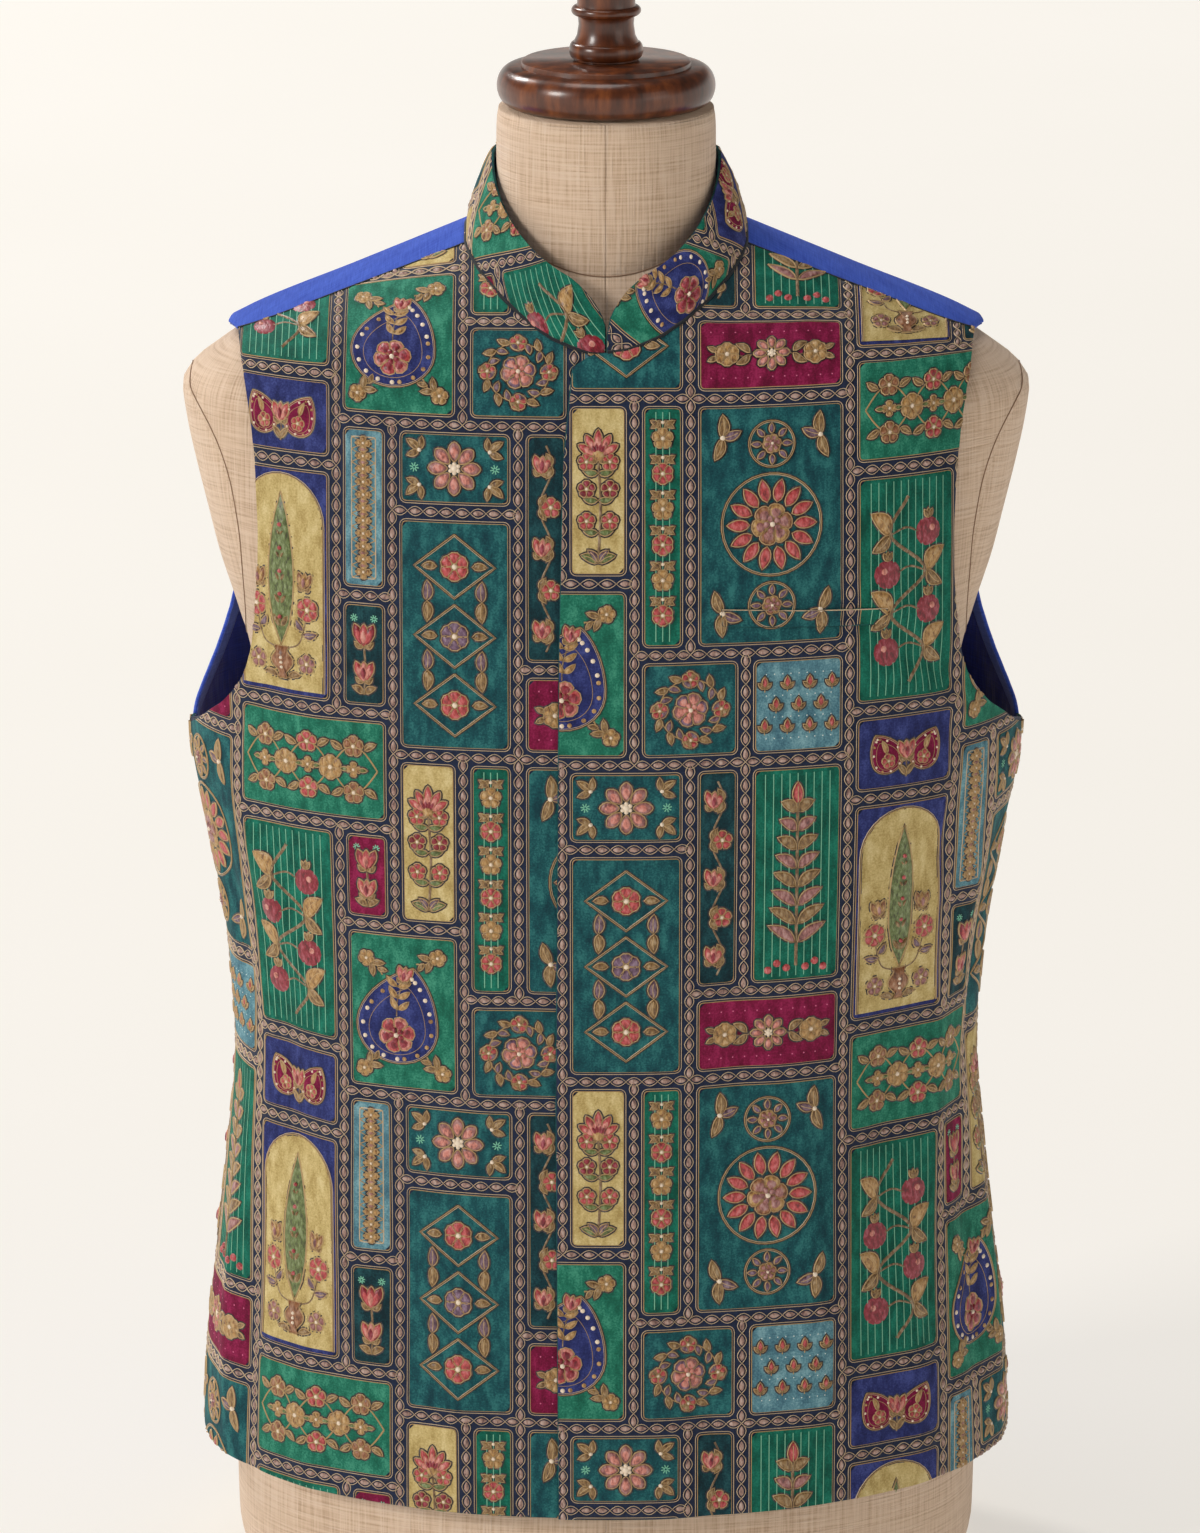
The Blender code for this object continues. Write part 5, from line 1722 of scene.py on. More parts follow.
def neck_seam_levels(rings, angles):
    """Where the neck's cylinder comes out of the torso, for each direction."""
    low = np.full(angles.shape, NECK_SEAM_FROM)
    high = np.full(angles.shape, FORM_TOP)
    for _ in range(40):
        middle = (low + high) / 2
        outside = ring_radius(rings, middle, angles) > NECK_RADIUS
        low, high = np.where(outside, middle, low), np.where(outside, high, middle)
    return low


def closed_grid_faces(rows, sides):
    """Quads of a grid whose last column meets its first, whose columns run round to the left."""
    quads = []
    for row in range(rows - 1):
        side = np.arange(sides)
        after = (side + 1) % sides
        quads.append(np.stack([side, after, after + sides, side + sides], -1) + row * sides)
    return np.concatenate(quads)


def tube(name, path, radius, material, closed=False):
    """A fine cord along a path of points."""
    sides = TUBE_SIDES
    path = np.asarray(path, float)
    along = np.gradient(path, axis=0)
    if closed:
        along = np.roll(path, -1, axis=0) - np.roll(path, 1, axis=0)
    along /= np.linalg.norm(along, axis=1)[:, None]
    across = np.cross(along, np.array([0.0, 0.02, 1.0]))
    across /= np.maximum(np.linalg.norm(across, axis=1), 1e-9)[:, None]
    rise = np.cross(along, across)
    turn = np.linspace(0, 2 * math.pi, sides, endpoint=False)[:, None]
    rows = []
    for point, a, b in zip(path, across, rise):
        rows.append(point + radius * (np.cos(turn) * a + np.sin(turn) * b))
    points = np.concatenate(rows)
    quads = closed_grid_faces(len(path), sides)
    if closed:
        last = (len(path) - 1) * sides
        side = np.arange(sides)
        after = (side + 1) % sides
        quads = np.concatenate([quads, np.stack([side + last, after + last, after, side], -1)])
    stations = np.repeat(np.arange(len(path)), sides)
    uv = np.stack([np.tile(np.arange(sides), len(path)), stations], -1) * MM
    return mesh_object(name, points, [quads[:, ::-1]], [material], uv=uv)


def make_torso(linen, thread):
    """Linen torso up to the seam round its neck, and that seam's rolled edge. Returns them with the
    seam's levels and directions, for the neck."""
    rings = Rings(FORM_RINGS)
    angles = np.linspace(0, 2 * math.pi, TORSO_SIDES, endpoint=False) - math.pi / 2
    tops = neck_seam_levels(rings, angles)
    columns = []
    for angle, top in zip(angles, tops):
        foot = np.linspace(0.0, TORSO_FOOT_TOP, 40)
        levels = np.concatenate([foot, np.linspace(TORSO_FOOT_TOP + MM, top, 500)])
        radius = ring_radius(rings, levels, np.full(levels.shape, angle))
        lengths = arc_lengths(np.stack([radius, levels], -1))
        at = np.linspace(0, lengths[-1], TORSO_ROWS)
        level = np.interp(at, lengths, levels)
        radius = np.interp(at, lengths, radius)
        columns.append(np.stack([radius * math.cos(angle), radius * math.sin(angle), level], -1))
    grid = np.array(columns).transpose(1, 0, 2)
    steps = np.linalg.norm(np.diff(grid, axis=1, append=grid[:, :1]), axis=2)
    around = np.cumsum(steps, axis=1) - steps
    around = np.where(around > around[:, -1:] / 2, around - around[:, -1:] - steps[:, -1:], around)
    uv = np.stack([around, grid[..., 2]], -1).reshape(-1, 2)
    points = np.concatenate([grid.reshape(-1, 3), [[0.0, 0.0, 0.0]]])
    side = np.arange(TORSO_SIDES)
    floor = np.stack([np.roll(side, -1), side, np.full(TORSO_SIDES, len(points) - 1)], -1)
    faces = [closed_grid_faces(TORSO_ROWS, TORSO_SIDES), floor]
    uv = np.concatenate([uv, [[0.05, 0.0]]])
    torso = mesh_object("linen_torso", points, faces, [linen], uv=uv)
    seam = grid[-1] * (1 + 0.0004 / NECK_RADIUS * np.array([1.0, 1.0, 0.0]))
    rolled = tube("neck_seam", seam, SEAM_RADIUS, thread, closed=True)
    return torso, rolled, tops, angles


def make_neck(linen, tops, angles):
    """Linen column that comes out of the torso, with a flat top."""
    share = np.linspace(0, 1, NECK_ROWS)[:, None]
    level = (tops - NECK_SUNK)[None] * (1 - share) + NECK_TOP * share
    radius = NECK_RADIUS - NECK_TAPER * share**14
    points = np.stack([radius * np.cos(angles), radius * np.sin(angles), level], -1)
    lid = np.array([[0.0, 0.0, NECK_TOP]])
    side = np.arange(TORSO_SIDES)
    top = (NECK_ROWS - 1) * TORSO_SIDES
    middle = np.full(TORSO_SIDES, NECK_ROWS * TORSO_SIDES)
    cover = np.stack([side + top, np.roll(side, -1) + top, middle], -1)
    around = (angles + math.pi / 2) * NECK_RADIUS
    around = np.where(around > math.pi * NECK_RADIUS, around - 2 * math.pi * NECK_RADIUS, around)
    uv = np.stack([np.broadcast_to(around, level.shape), level], -1).reshape(-1, 2)
    points = np.concatenate([points.reshape(-1, 3), lid])
    uv = np.concatenate([uv, [[0.05, NECK_TOP]]])
    faces = [closed_grid_faces(NECK_ROWS, TORSO_SIDES), cover]
    return mesh_object("linen_neck", points, faces, [linen], uv=uv)


def make_plate(linen, thread, side, word):
    """Oval of linen let in over the arm's place, with a sewn seam round it."""
    rings = Rings(FORM_RINGS)
    upward = np.array([math.sin(PLATE_TILT), 0.0, math.cos(PLATE_TILT)])
    outward = np.array([math.cos(PLATE_TILT), 0.0, -math.sin(PLATE_TILT)])
    turn = np.linspace(0, 2 * math.pi, PLATE_SIDES, endpoint=False)
    share = np.linspace(0, 1, PLATE_RINGS)[:, None]
    oval = np.array(PLATE_CENTRE) + (np.sin(turn) * share * PLATE_HALF_HEIGHT)[..., None] * upward
    oval[..., 1] += np.cos(turn) * share * PLATE_HALF_DEPTH
    low, high = np.full(oval.shape[:2], -0.05), np.full(oval.shape[:2], PLATE_REACH)
    for _ in range(36):
        middle = (low + high) / 2
        spot = oval + middle[..., None] * outward
        level = np.clip(spot[..., 2], 0.0, FORM_TOP)
        reach = np.hypot(spot[..., 0], spot[..., 1])
        outside = reach > ring_radius(rings, level, np.arctan2(spot[..., 1], spot[..., 0]))
        low, high = np.where(outside, low, middle), np.where(outside, middle, high)
    surface = oval + low[..., None] * outward
    lift = PLATE_LIFT - PLATE_SINK * share**20
    points = (surface + lift[..., None] * outward) * np.array([side, 1, 1])
    quads = closed_grid_faces(PLATE_RINGS, PLATE_SIDES)
    uv = np.stack([oval[..., 1] + 0.1, oval[..., 2]], -1).reshape(-1, 2)
    flip = quads[:, ::-1] if side > 0 else quads
    plate = mesh_object(f"linen_arm_plate_{word}", points.reshape(-1, 3), [flip], [linen], uv=uv)
    edge = (surface[-1] + 0.0001 * outward) * np.array([side, 1, 1])
    seam = tube(f"arm_plate_seam_{word}", edge, SEAM_RADIUS, thread, closed=True)
    return plate, seam


def bead_profile(radius, foot, head, bulge, steps=12):
    """Half-round swelling of a turned profile between two levels."""
    turn = np.radians(np.linspace(0, 180, steps + 1))
    middle, half = (foot + head) / 2, (head - foot) / 2
    return [(radius + bulge * math.sin(a), middle - half * math.cos(a)) for a in turn]


def lathe(name, profile, material):
    """Body turned from a profile of radius and level, listed upwards from the axis."""
    profile = np.array(profile)
    angles = np.linspace(0, 2 * math.pi, LATHE_SIDES, endpoint=False)
    ring = np.stack([np.cos(angles), np.sin(angles)], -1)
    inner = profile[1:-1]
    points = [np.array([[0.0, 0.0, profile[0, 1]]])]
    for radius, level in inner:
        points.append(np.column_stack([ring * radius, np.full(LATHE_SIDES, level)]))
    points.append(np.array([[0.0, 0.0, profile[-1, 1]]]))
    points = np.concatenate(points)
    side = np.arange(LATHE_SIDES) + 1
    after = np.roll(side, -1)
    last = (len(inner) - 1) * LATHE_SIDES
    foot = np.stack([after, side, np.zeros(LATHE_SIDES, int)], -1)
    head = np.stack([side + last, after + last, np.full(LATHE_SIDES, len(points) - 1)], -1)
    walls = closed_grid_faces(len(inner), LATHE_SIDES) + 1
    obj = mesh_object(name, points, [walls, foot, head], [material])
    obj.data.set_sharp_from_angle(angle=math.radians(38))
    return obj


def make_cap(wood):
    foot = NECK_TOP + SEAM_GAP
    head = foot + CAP_HEIGHT
    step = head - DISC_STEP
    rim = bead_profile(CAP_RADIUS - 0.0075, foot + 0.0008, step - 0.0004, 0.0075, 20)
    disc = [(DISC_RADIUS + 0.0030, step), (DISC_RADIUS + 0.0004, step), (DISC_RADIUS, head - 0.0006)]
    profile = [(0.0, foot)] + rim + disc + [(DISC_RADIUS - 0.0010, head), (0.0, head)]
    return lathe("turned_cap", profile, wood), head


def make_finial(wood, head):
    base = head + SEAM_GAP
    profile = [(0.0, base), (FINIAL_FOOT_RADIUS, base)]
    profile += bead_profile(FINIAL_FOOT_RADIUS, base + 0.0006, base + 0.0090, 0.0023)
    profile += [(0.0148, base + 0.0125), (0.0140, base + 0.0180), (0.0143, base + 0.0215)]
    profile += bead_profile(0.0150, base + 0.0225, base + 0.0275, 0.0027)
    profile += [(FINIAL_NECK_RADIUS, base + 0.0290), (FINIAL_NECK_RADIUS, base + 0.0440)]
    profile += bead_profile(0.0150, base + 0.0450, base + 0.0500, 0.0022)
    profile += [(FINIAL_KNOB_FOOT, base + 0.0520)]
    start = math.degrees(math.asin(FINIAL_KNOB_FOOT / FINIAL_KNOB_RADIUS))
    knob = FINIAL_KNOB_RADIUS
    centre = base + 0.0520 + knob * math.cos(math.radians(start))
    for angle in np.radians(np.linspace(start, 180, 28))[1:]:
        profile.append((knob * math.sin(angle), centre - knob * math.cos(angle)))
    profile[-1] = (0.0, centre + knob)
    return lathe("turned_finial", profile, wood)


# --- Materials ------------------------------------------------------------------------------


def tone(red, green, blue):
    """Linear colour of an sRGB colour from 0 to 255."""
    channels = []
    for value in (red, green, blue):
        value = value / 255
        channels.append(value / 12.92 if value <= 0.04045 else ((value + 0.055) / 1.055) ** 2.4)
    return (*channels, 1.0)


class Finish:
    """A node material that is built up step by step."""

    def __init__(self, name, colour, roughness, sheen=0.0, metallic=0.0, coat=0.0, gloss=0.5):
        self.material = bpy.data.materials.new(name)
        self.material.use_nodes = True
        self.nodes = self.material.node_tree.nodes
        self.links = self.material.node_tree.links
        self.shader = self.nodes["Principled BSDF"]
        self.material.diffuse_color = colour
        self.put("Base Color", colour)
        self.put("Roughness", roughness)
        self.put("Metallic", metallic)
        self.put("Specular IOR Level", gloss)
        if sheen:
            self.put("Sheen Weight", sheen)
            self.put("Sheen Roughness", 0.5)
        if coat:
            self.put("Coat Weight", coat)
            self.put("Coat Roughness", 0.12)

    def put(self, socket, value):
        self.shader.inputs[socket].default_value = value

    def node(self, kind, **inputs):
        made = self.nodes.new(kind)
        for name, value in inputs.items():
            socket = name.replace("_", " ")
            if hasattr(value, "is_output"):
                self.links.new(value, made.inputs[socket])
            else:
                made.inputs[socket].default_value = value
        return made

    def coords(self, scale=(1.0, 1.0, 1.0), degrees=0.0, solid=False):
        """The cut's own coordinates in metres, or those of a solid body."""
        if solid:
            source = self.nodes.new("ShaderNodeTexCoord").outputs["Object"]
        else:
            chart = self.nodes.new("ShaderNodeUVMap")
            chart.uv_map = "Cut"
            source = chart.outputs["UV"]
        made = self.node("ShaderNodeMapping", Vector=source, Scale=scale)
        made.inputs["Rotation"].default_value = (0.0, 0.0, math.radians(degrees))
        return made.outputs["Vector"]

    def noise(self, coords, scale, detail, roughness=0.55):
        made = self.node("ShaderNodeTexNoise", Vector=coords, Scale=scale, Detail=detail)
        made.inputs["Roughness"].default_value = roughness
        return made.outputs["Fac"]

    def maths(self, operation, first, second=None):
        made = self.nodes.new("ShaderNodeMath")
        made.operation = operation
        for socket, value in zip(made.inputs, (first, second)):
            if hasattr(value, "is_output"):
                self.links.new(value, socket)
            elif value is not None:
                socket.default_value = value
        return made.outputs["Value"]

    def mixed(self, first, second, share):
        """Two values in one, with the first one's share."""
        first = self.maths("MULTIPLY", first, share)
        return self.maths("ADD", first, self.maths("MULTIPLY", second, 1 - share))

    def ramp(self, fac, *stops):
        made = self.node("ShaderNodeValToRGB", Fac=fac)
        elements = made.color_ramp.elements
        while len(elements) < len(stops):
            elements.new(0.5)
        for element, (place, colour) in zip(elements, stops):
            element.position = place
            element.color = colour
        return made.outputs["Color"]

    def colour(self, socket):
        self.links.new(socket, self.shader.inputs["Base Color"])
        return self

    def bump(self, height, depth, strength=1.0):
        made = self.node("ShaderNodeBump", Height=height, Strength=strength, Distance=depth)
        last = self.shader.inputs["Normal"]
        if last.is_linked:
            self.links.new(last.links[0].from_socket, made.inputs["Normal"])
        self.links.new(made.outputs["Normal"], last)
        return self

    def rough(self, fac, low, high):
        made = self.node("ShaderNodeMapRange", Value=fac)
        made.inputs["To Min"].default_value = low
        made.inputs["To Max"].default_value = high
        self.links.new(made.outputs["Result"], self.shader.inputs["Roughness"])
        return self


LINEN_TONES = (
    (0.36, (184, 155, 129)),
    (0.46, (208, 180, 154)),
    (0.54, (220, 194, 170)),
    (0.64, (224, 201, 180)),
)


def linen_finish():
    """Natural linen: uneven threads both ways, slubs, and the sewn seam down the middle."""
    made = Finish("linen", tone(219, 200, 176), 0.92, sheen=0.2, gloss=0.3)
    warp = made.noise(made.coords((900.0, 26.0, 1.0)), 1.0, 2.0, 0.6)
    weft = made.noise(made.coords((22.0, 900.0, 1.0)), 1.0, 2.0, 0.6)
    slubs = made.maths("MULTIPLY", made.maths("ADD", warp, weft), 0.5)
    cloud = made.noise(made.coords(), 9.0, 2.0)
    mixed = made.mixed(slubs, cloud, 0.88)
    made.colour(made.ramp(mixed, *((place, tone(*colour)) for place, colour in LINEN_TONES)))
    across = made.node("ShaderNodeSeparateXYZ", Vector=made.coords()).outputs["X"]
    off_seam = made.maths("MULTIPLY", made.maths("ABSOLUTE", across), 1500.0)
    groove = made.maths("MINIMUM", off_seam, 1.0)
    made.bump(slubs, 0.0012, 1.0)
    made.bump(groove, 0.0006, 1.0)
    return made.material


def cloth_finish(name, dark, light, roughness, sheen, folds):
    """Plain woven cotton or satin with uneven threads and small puckers."""
    made = Finish(name, tone(*light), roughness, sheen, gloss=0.2)
    threads = made.noise(made.coords((1100.0, 60.0, 1.0)), 1.0, 2.0)
    picks = made.noise(made.coords((60.0, 1100.0, 1.0)), 1.0, 2.0)
    weave = made.maths("MULTIPLY", made.maths("ADD", threads, picks), 0.5)
    cloud = made.noise(made.coords(), 60.0, 4.0, 0.6)
    grain = made.mixed(weave, cloud, 0.75)
    made.colour(made.ramp(grain, (0.38, tone(*dark)), (0.62, tone(*light))))
    made.bump(weave, 0.0005, 0.8)
    if folds:
        made.bump(made.noise(made.coords((46.0, 22.0, 1.0), 24.0), 1.0, 2.0, 0.5), folds)
    return made.material


def mottled_finish(name, colours):
    """Printed ground with a cloudy wash under a fine speckle, as of ink on cotton."""
    low, middle, high = (tone(*colour) for colour in colours)
    made = Finish(name, middle, 0.74, gloss=0.2)
    wash = made.noise(made.coords((1.0, 0.45, 1.0)), 160.0, 3.0, 0.6)
    speckle = made.noise(made.coords(), 960.0, 2.0, 0.7)
    mottle = made.mixed(wash, speckle, 0.6)
    made.colour(made.ramp(mottle, (0.38, low), (0.50, middle), (0.62, high)))
    made.bump(speckle, 0.0003, 0.7)
    return made.material


def petal_finish(name, colour):
    """Padded satin: darker and lighter streaks of one dye, and a soft shine."""
    red, green, blue = colour
    made = Finish(name, tone(*colour), 0.36, 0.1)
    streaks = made.noise(made.coords((1.0, 0.5, 1.0), 35.0), 520.0, 3.0, 0.65)
    dark = tone(red * 0.62, green * 0.55, blue * 0.58)
    light = tone(*(value + (255 - value) * 0.26 for value in colour))
    made.colour(made.ramp(streaks, (0.34, dark), (0.50, tone(*colour)), (0.66, light)))
    made.rough(streaks, 0.24, 0.52)
    made.bump(streaks, 0.0004)
    return made.material


def thread_finish(name, colour, roughness, metallic=0.0, sheen=0.15, scale=900.0, depth=0.00025):
    """Raised thread work: strands that catch the light unevenly."""
    made = Finish(name, tone(*colour), roughness, sheen, metallic)
    strands = made.noise(made.coords((1.0, 3.0, 1.0), 28.0), scale, 3.0, 0.7)
    made.rough(strands, max(roughness - 0.2, 0.15), min(roughness + 0.2, 1.0))
    made.bump(strands, depth)
    return made.material


def wood_finish():
    """Dark polished wood, its grain drawn out along the lathe's axis."""
    made = Finish("polished_wood", tone(84, 44, 26), 0.32, coat=0.25)
    long_grain = made.noise(made.coords((1.0, 1.0, 0.16), solid=True), 130.0, 5.0, 0.6)
    figure = made.noise(made.coords((1.0, 1.0, 0.5), solid=True), 22.0, 3.0)
    mixed = made.mixed(long_grain, figure, 0.6)
    dark, middle, light = tone(40, 17, 7), tone(88, 42, 18), tone(140, 76, 34)
    made.colour(made.ramp(mixed, (0.36, dark), (0.50, middle), (0.66, light)))
    made.bump(long_grain, 0.0001, 0.4)
    return made.material


PETAL_TONES = {
    "petal_coral": (186, 70, 72),
    "petal_pink": (204, 126, 112),
    "petal_deep": (138, 24, 42),
    "petal_mauve": (112, 82, 108),
    "petal_rose": (158, 104, 100),
    "petal_bronze": (150, 98, 62),
    "petal_gold": (182, 140, 82),
    "leaf_gold": (142, 110, 66),
    "leaf_mauve": (112, 84, 100),
    "leaf_green": (100, 116, 60),
    "stem": (128, 100, 66),
    # painted shadow colour, for the dark lines under the cords
    "shade": (38, 26, 30),
    "chain_seed": (166, 134, 122),
}
CORD_TONES = {"cord": (196, 164, 118), "cord_gold": (178, 146, 98), "cord_pale": (208, 184, 152)}
FAINT_TONES = {
    "faint_green": (120, 190, 160),
    "faint_stripe": (126, 190, 160),
    "faint_pink": (214, 110, 150),
    "faint_white": (214, 226, 222),
}
GROUNDS = (
    ("ground_green", ((16, 88, 70), (30, 114, 92), (66, 148, 122))),
    ("ground_teal", ((10, 56, 66), (22, 82, 88), (48, 116, 116))),
    ("ground_dark", ((8, 36, 44), (14, 54, 62), (32, 80, 86))),
    ("ground_indigo", ((28, 34, 82), (42, 50, 108), (66, 76, 140))),
    ("ground_stripe", ((4, 74, 60), (10, 98, 80), (28, 124, 102))),
    ("ground_cream", ((168, 144, 88), (196, 174, 116), (216, 198, 146))),
    ("ground_magenta", ((92, 6, 42), (122, 14, 60), (152, 36, 84))),
    ("ground_sky", ((62, 102, 120), (88, 134, 148), (130, 172, 182))),
)
PRINT_EDGE_TONES = ((14, 52, 58), (24, 76, 80), (40, 100, 100))
CLOTHS = (
    ("print_base", (16, 26, 50), (30, 44, 74), 0.75, 0.2, 0.0),
    ("blue_outside", (50, 77, 178), (72, 103, 206), 0.8, 0.0, 0.0009),
    ("blue_inside", (14, 32, 122), (32, 56, 170), 0.4, 0.3, 0.004),
    ("blue_facing", (66, 90, 180), (92, 116, 208), 0.55, 0.2, 0.0),
)
PRINT_GROUPS = {
    "grounds": tuple(name for name, _ in GROUNDS),
    "frames": ("cord_gold", "cord_pale"),
    "edges": ("cord", "shade", "stem") + tuple(FAINT_TONES),
    "petals": tuple(name for name in PETAL_TONES if name.startswith("petal")),
    "leaves": ("leaf_gold", "leaf_mauve", "leaf_green", "chain_seed", "pearl"),
}


def make_finishes():
    finishes = {"linen": linen_finish(), "wood": wood_finish()}
    finishes["linen_thread"] = thread_finish("linen_thread", (146, 114, 88), 0.9)
    # dark thread for the shoulder seams, and for the collar foot's cord, which is also a painted shadow
    finishes["dark_seam_thread_and_painted_shadow"] = thread_finish("dark_seam_thread_and_painted_shadow", (10, 20, 30), 0.8)
    for row in CLOTHS:
        finishes[row[0]] = cloth_finish(*row)
    for name, colours in GROUNDS + (("print_edge", PRINT_EDGE_TONES),):
        finishes[name] = mottled_finish(name, colours)
    for name, colour in PETAL_TONES.items():
        finishes[name] = petal_finish(name, colour)
    for name, colour in CORD_TONES.items():
        finishes[name] = thread_finish(name, colour, 0.42, 0.12, 0.0, 1600.0, 0.0002)
    for name, colour in FAINT_TONES.items():
        finishes[name] = thread_finish(name, colour, 0.8, 0.0, 0.0, 1200.0, 0.00005)
    finishes["pearl"] = thread_finish("pearl", (236, 218, 196), 0.3, 0.0, 0.1, 300.0, 0.00005)
    return finishes


# --- Jacket ---------------------------------------------------------------------------------

SIDE_FADE = 0.030
FACING_GAP = 0.0002
FACING_WALL = 0.0003
COLLAR_SEAM_SHADOW_LIFT = 0.0004
SHOULDER_SEAM_LIFT = 0.0002
WELT_LIP_HIGHLIGHT_LIFT = 0.0001
COLLAR_SEAM_SHADOW_RADIUS = 0.0009
WELT_LIP_HIGHLIGHT_RADIUS = 0.0003
SHOULDER_SEAM_RADIUS = 0.0006
FRONT_CREASE_DEPTH = 1.6
BACK_CREASE_DEPTH = 2.4
LEFT_PRINT = complex(116, 30)
RIGHT_PRINT = complex(-38, 212)
COLLAR_PRINT = complex(16, 232)
COLLAR_PRINT_TURN = 42.0


def faded_creases(chart, rows, depth):
    """Creases that die out before the side seam, so that the two sides of it meet."""
    levels = np.linspace(CHART_BELOW, ARMPIT_LEVEL, 40)
    sides = np.array([chart.side(level) for level in levels])

    def height(flat):
        room = np.interp(flat[..., 1], levels, sides) - np.abs(flat[..., 0])
        return depth * creases(flat, rows) * smooth_step(room / SIDE_FADE)

    return height


def welt_grid(chart):
    """Flat grid of the chest pocket's slim welt."""
    x = np.linspace(WELT_INNER, WELT_OUTER, WELT_COLUMNS + 1)
    sides = []
    for half_height in (-WELT_HEIGHT / 2, WELT_HEIGHT / 2):
        level = WELT_LEVEL + WELT_TILT * (x - WELT_INNER) + half_height
        sides.append(np.array([chart.place(a, b) for a, b in zip(x, level)]))
    rise = np.linspace(0, 1, WELT_ROWS + 1)[:, None, None]
    return sides[0][None] * (1 - rise) + sides[1][None] * rise


def facing_grid(edge):
    """Flat strip along an edge, whose body lies to the edge's left."""
    along = np.gradient(edge, axis=0)
    aside = np.stack([-along[:, 1], along[:, 0]], -1)
    aside /= np.linalg.norm(aside, axis=1)[:, None]
    share = np.linspace(0.02, 1, 5)[None, :, None]
    return edge[:, None] + aside[:, None] * share * FACING_WIDTH


def flat_area(grids):
    """Area of flat grids, and the width and height of the box round them."""
    area = 0.0
    for grid in grids:
        a, b = grid[1:, 1:] - grid[:-1, :-1], grid[1:, :-1] - grid[:-1, 1:]
        area += np.abs(a[..., 0] * b[..., 1] - a[..., 1] * b[..., 0]).sum() / 2
    every = np.concatenate([grid.reshape(-1, 2) for grid in grids])
    return area, every.max(axis=0) - every.min(axis=0)


def make_jacket(finishes):
    """Returns each CAD node's shell and its cloth, and each one's sewn seams and facings. The collar's
    dark seam cord is also a painted shadow, and the welt's pale lip a painted highlight.
    """
    rings = Rings(GARMENT_RINGS)
    front, back = Chart(rings, -1), Chart(rings, 1)
    left_creases = faded_creases(front, FRONT_CREASES, FRONT_CREASE_DEPTH)
    right_creases = faded_creases(front, RIGHT_FRONT_CREASES, FRONT_CREASE_DEPTH)

    def left_lift(flat):
        return overlap_lift(flat) + left_creases(flat)

    def welt_lift(flat):
        return left_lift(flat) + SEAM_GAP + WELT_THICKNESS

    left = Cloth(front, [left_front_grid(front)], ONES, left_lift)
    right = Cloth(front, [right_front_grid(front)], MIRROR, right_creases)
    below, strip = back_grids(back)
    folds = faded_creases(back, BACK_CREASES, BACK_CREASE_DEPTH)
    behind = Cloth(back, [below, strip], ONES, folds)
    welt = Cloth(front, [welt_grid(front)], ONES, welt_lift, WELT_THICKNESS)

    edges = []
    for cloth in (left, right):
        grid = cloth.grids[0]
        edges.append(cloth.wrap(grid[-1, OVERLAP_COLUMNS : OVERLAP_COLUMNS + NECK_COLUMNS + 1]))
    neck_edge = behind.wrap(below[-1, : NECK_COLUMNS + 1])
    strip_edge = behind.wrap(strip[1:, 0])
    back_edge = np.concatenate([neck_edge, strip_edge])[-2::-1]
    band = Band(edges[0], edges[1], back_edge)
    collar = Cloth(band, [band.grid()])

    base, edge = finishes["print_base"], finishes["print_edge"]
    outside, inside = finishes["blue_outside"], finishes["blue_inside"]
    printed = [base, inside, edge]
    pieces = {
        "front_left": (shell("left_front_cloth", left, printed), left),
        "front_right": (shell("right_front_cloth", right, printed), right),
        "collar": (shell("collar_cloth", collar, printed), collar),
        "pocket_welt": (shell("welt_cloth", welt, [base, base, edge]), welt),
        "back": (shell("back_cloth", behind, [outside, inside, outside], (ONES, MIRROR)), behind),
    }
    armhole = np.concatenate([below[SIDE_ROWS:, -1], strip[1:, -1]])

    def facing_lift(flat):
        return behind.lift(flat) - WALL - FACING_GAP

    facing = Cloth(back, [facing_grid(armhole)], ONES, facing_lift, FACING_WALL)
    navy = [finishes["blue_facing"]] * 3
    sewn = {"back": shell("armhole_facing", facing, navy, (ONES, MIRROR))}
    thread = finishes["dark_seam_thread_and_painted_shadow"]
    for name, cloth in (("front_left", left), ("front_right", right)):
        line = cloth.wrap(cloth.grids[0][-1, OVERLAP_COLUMNS + NECK_COLUMNS :], SHOULDER_SEAM_LIFT)
        sewn[name] = tube(f"{name}_shoulder_seam", line, SHOULDER_SEAM_RADIUS, thread)
    # the dark cord at the collar's foot is its seam and also a painted shadow of the fold there
    foot = collar.wrap(collar.grids[0][0], COLLAR_SEAM_SHADOW_LIFT)
    sewn["collar"] = tube("collar_seam_painted_shadow", foot, COLLAR_SEAM_SHADOW_RADIUS, thread)
    # the pale cord along the welt's top edge is its lip and also a painted highlight on that edge
    lip = welt.wrap(welt.grids[0][-1], WELT_LIP_HIGHLIGHT_LIFT)
    sewn["pocket_welt"] = tube("welt_lip_painted_highlight", lip, WELT_LIP_HIGHLIGHT_RADIUS, finishes["cord_pale"])
    return pieces, sewn


def print_jacket(pieces, finishes):
    """Lays the patchwork on the printed pieces. Returns the printed objects of each CAD node."""
    cells = repeat_ink()
    welt = pieces["pocket_welt"][1]
    layouts = {
        "front_left": (LEFT_PRINT, 0.0, welt.outline()),
        "front_right": (RIGHT_PRINT,),
        "collar": (COLLAR_PRINT, COLLAR_PRINT_TURN),
        "pocket_welt": (LEFT_PRINT,),
    }
    prints = {}
    for name, layout in layouts.items():
        printing = Printing(pieces[name][1], *layout)
        prints[name] = printing.apply(name, cells, PRINT_GROUPS, finishes)
    return prints


# --- Studio ---------------------------------------------------------------------------------

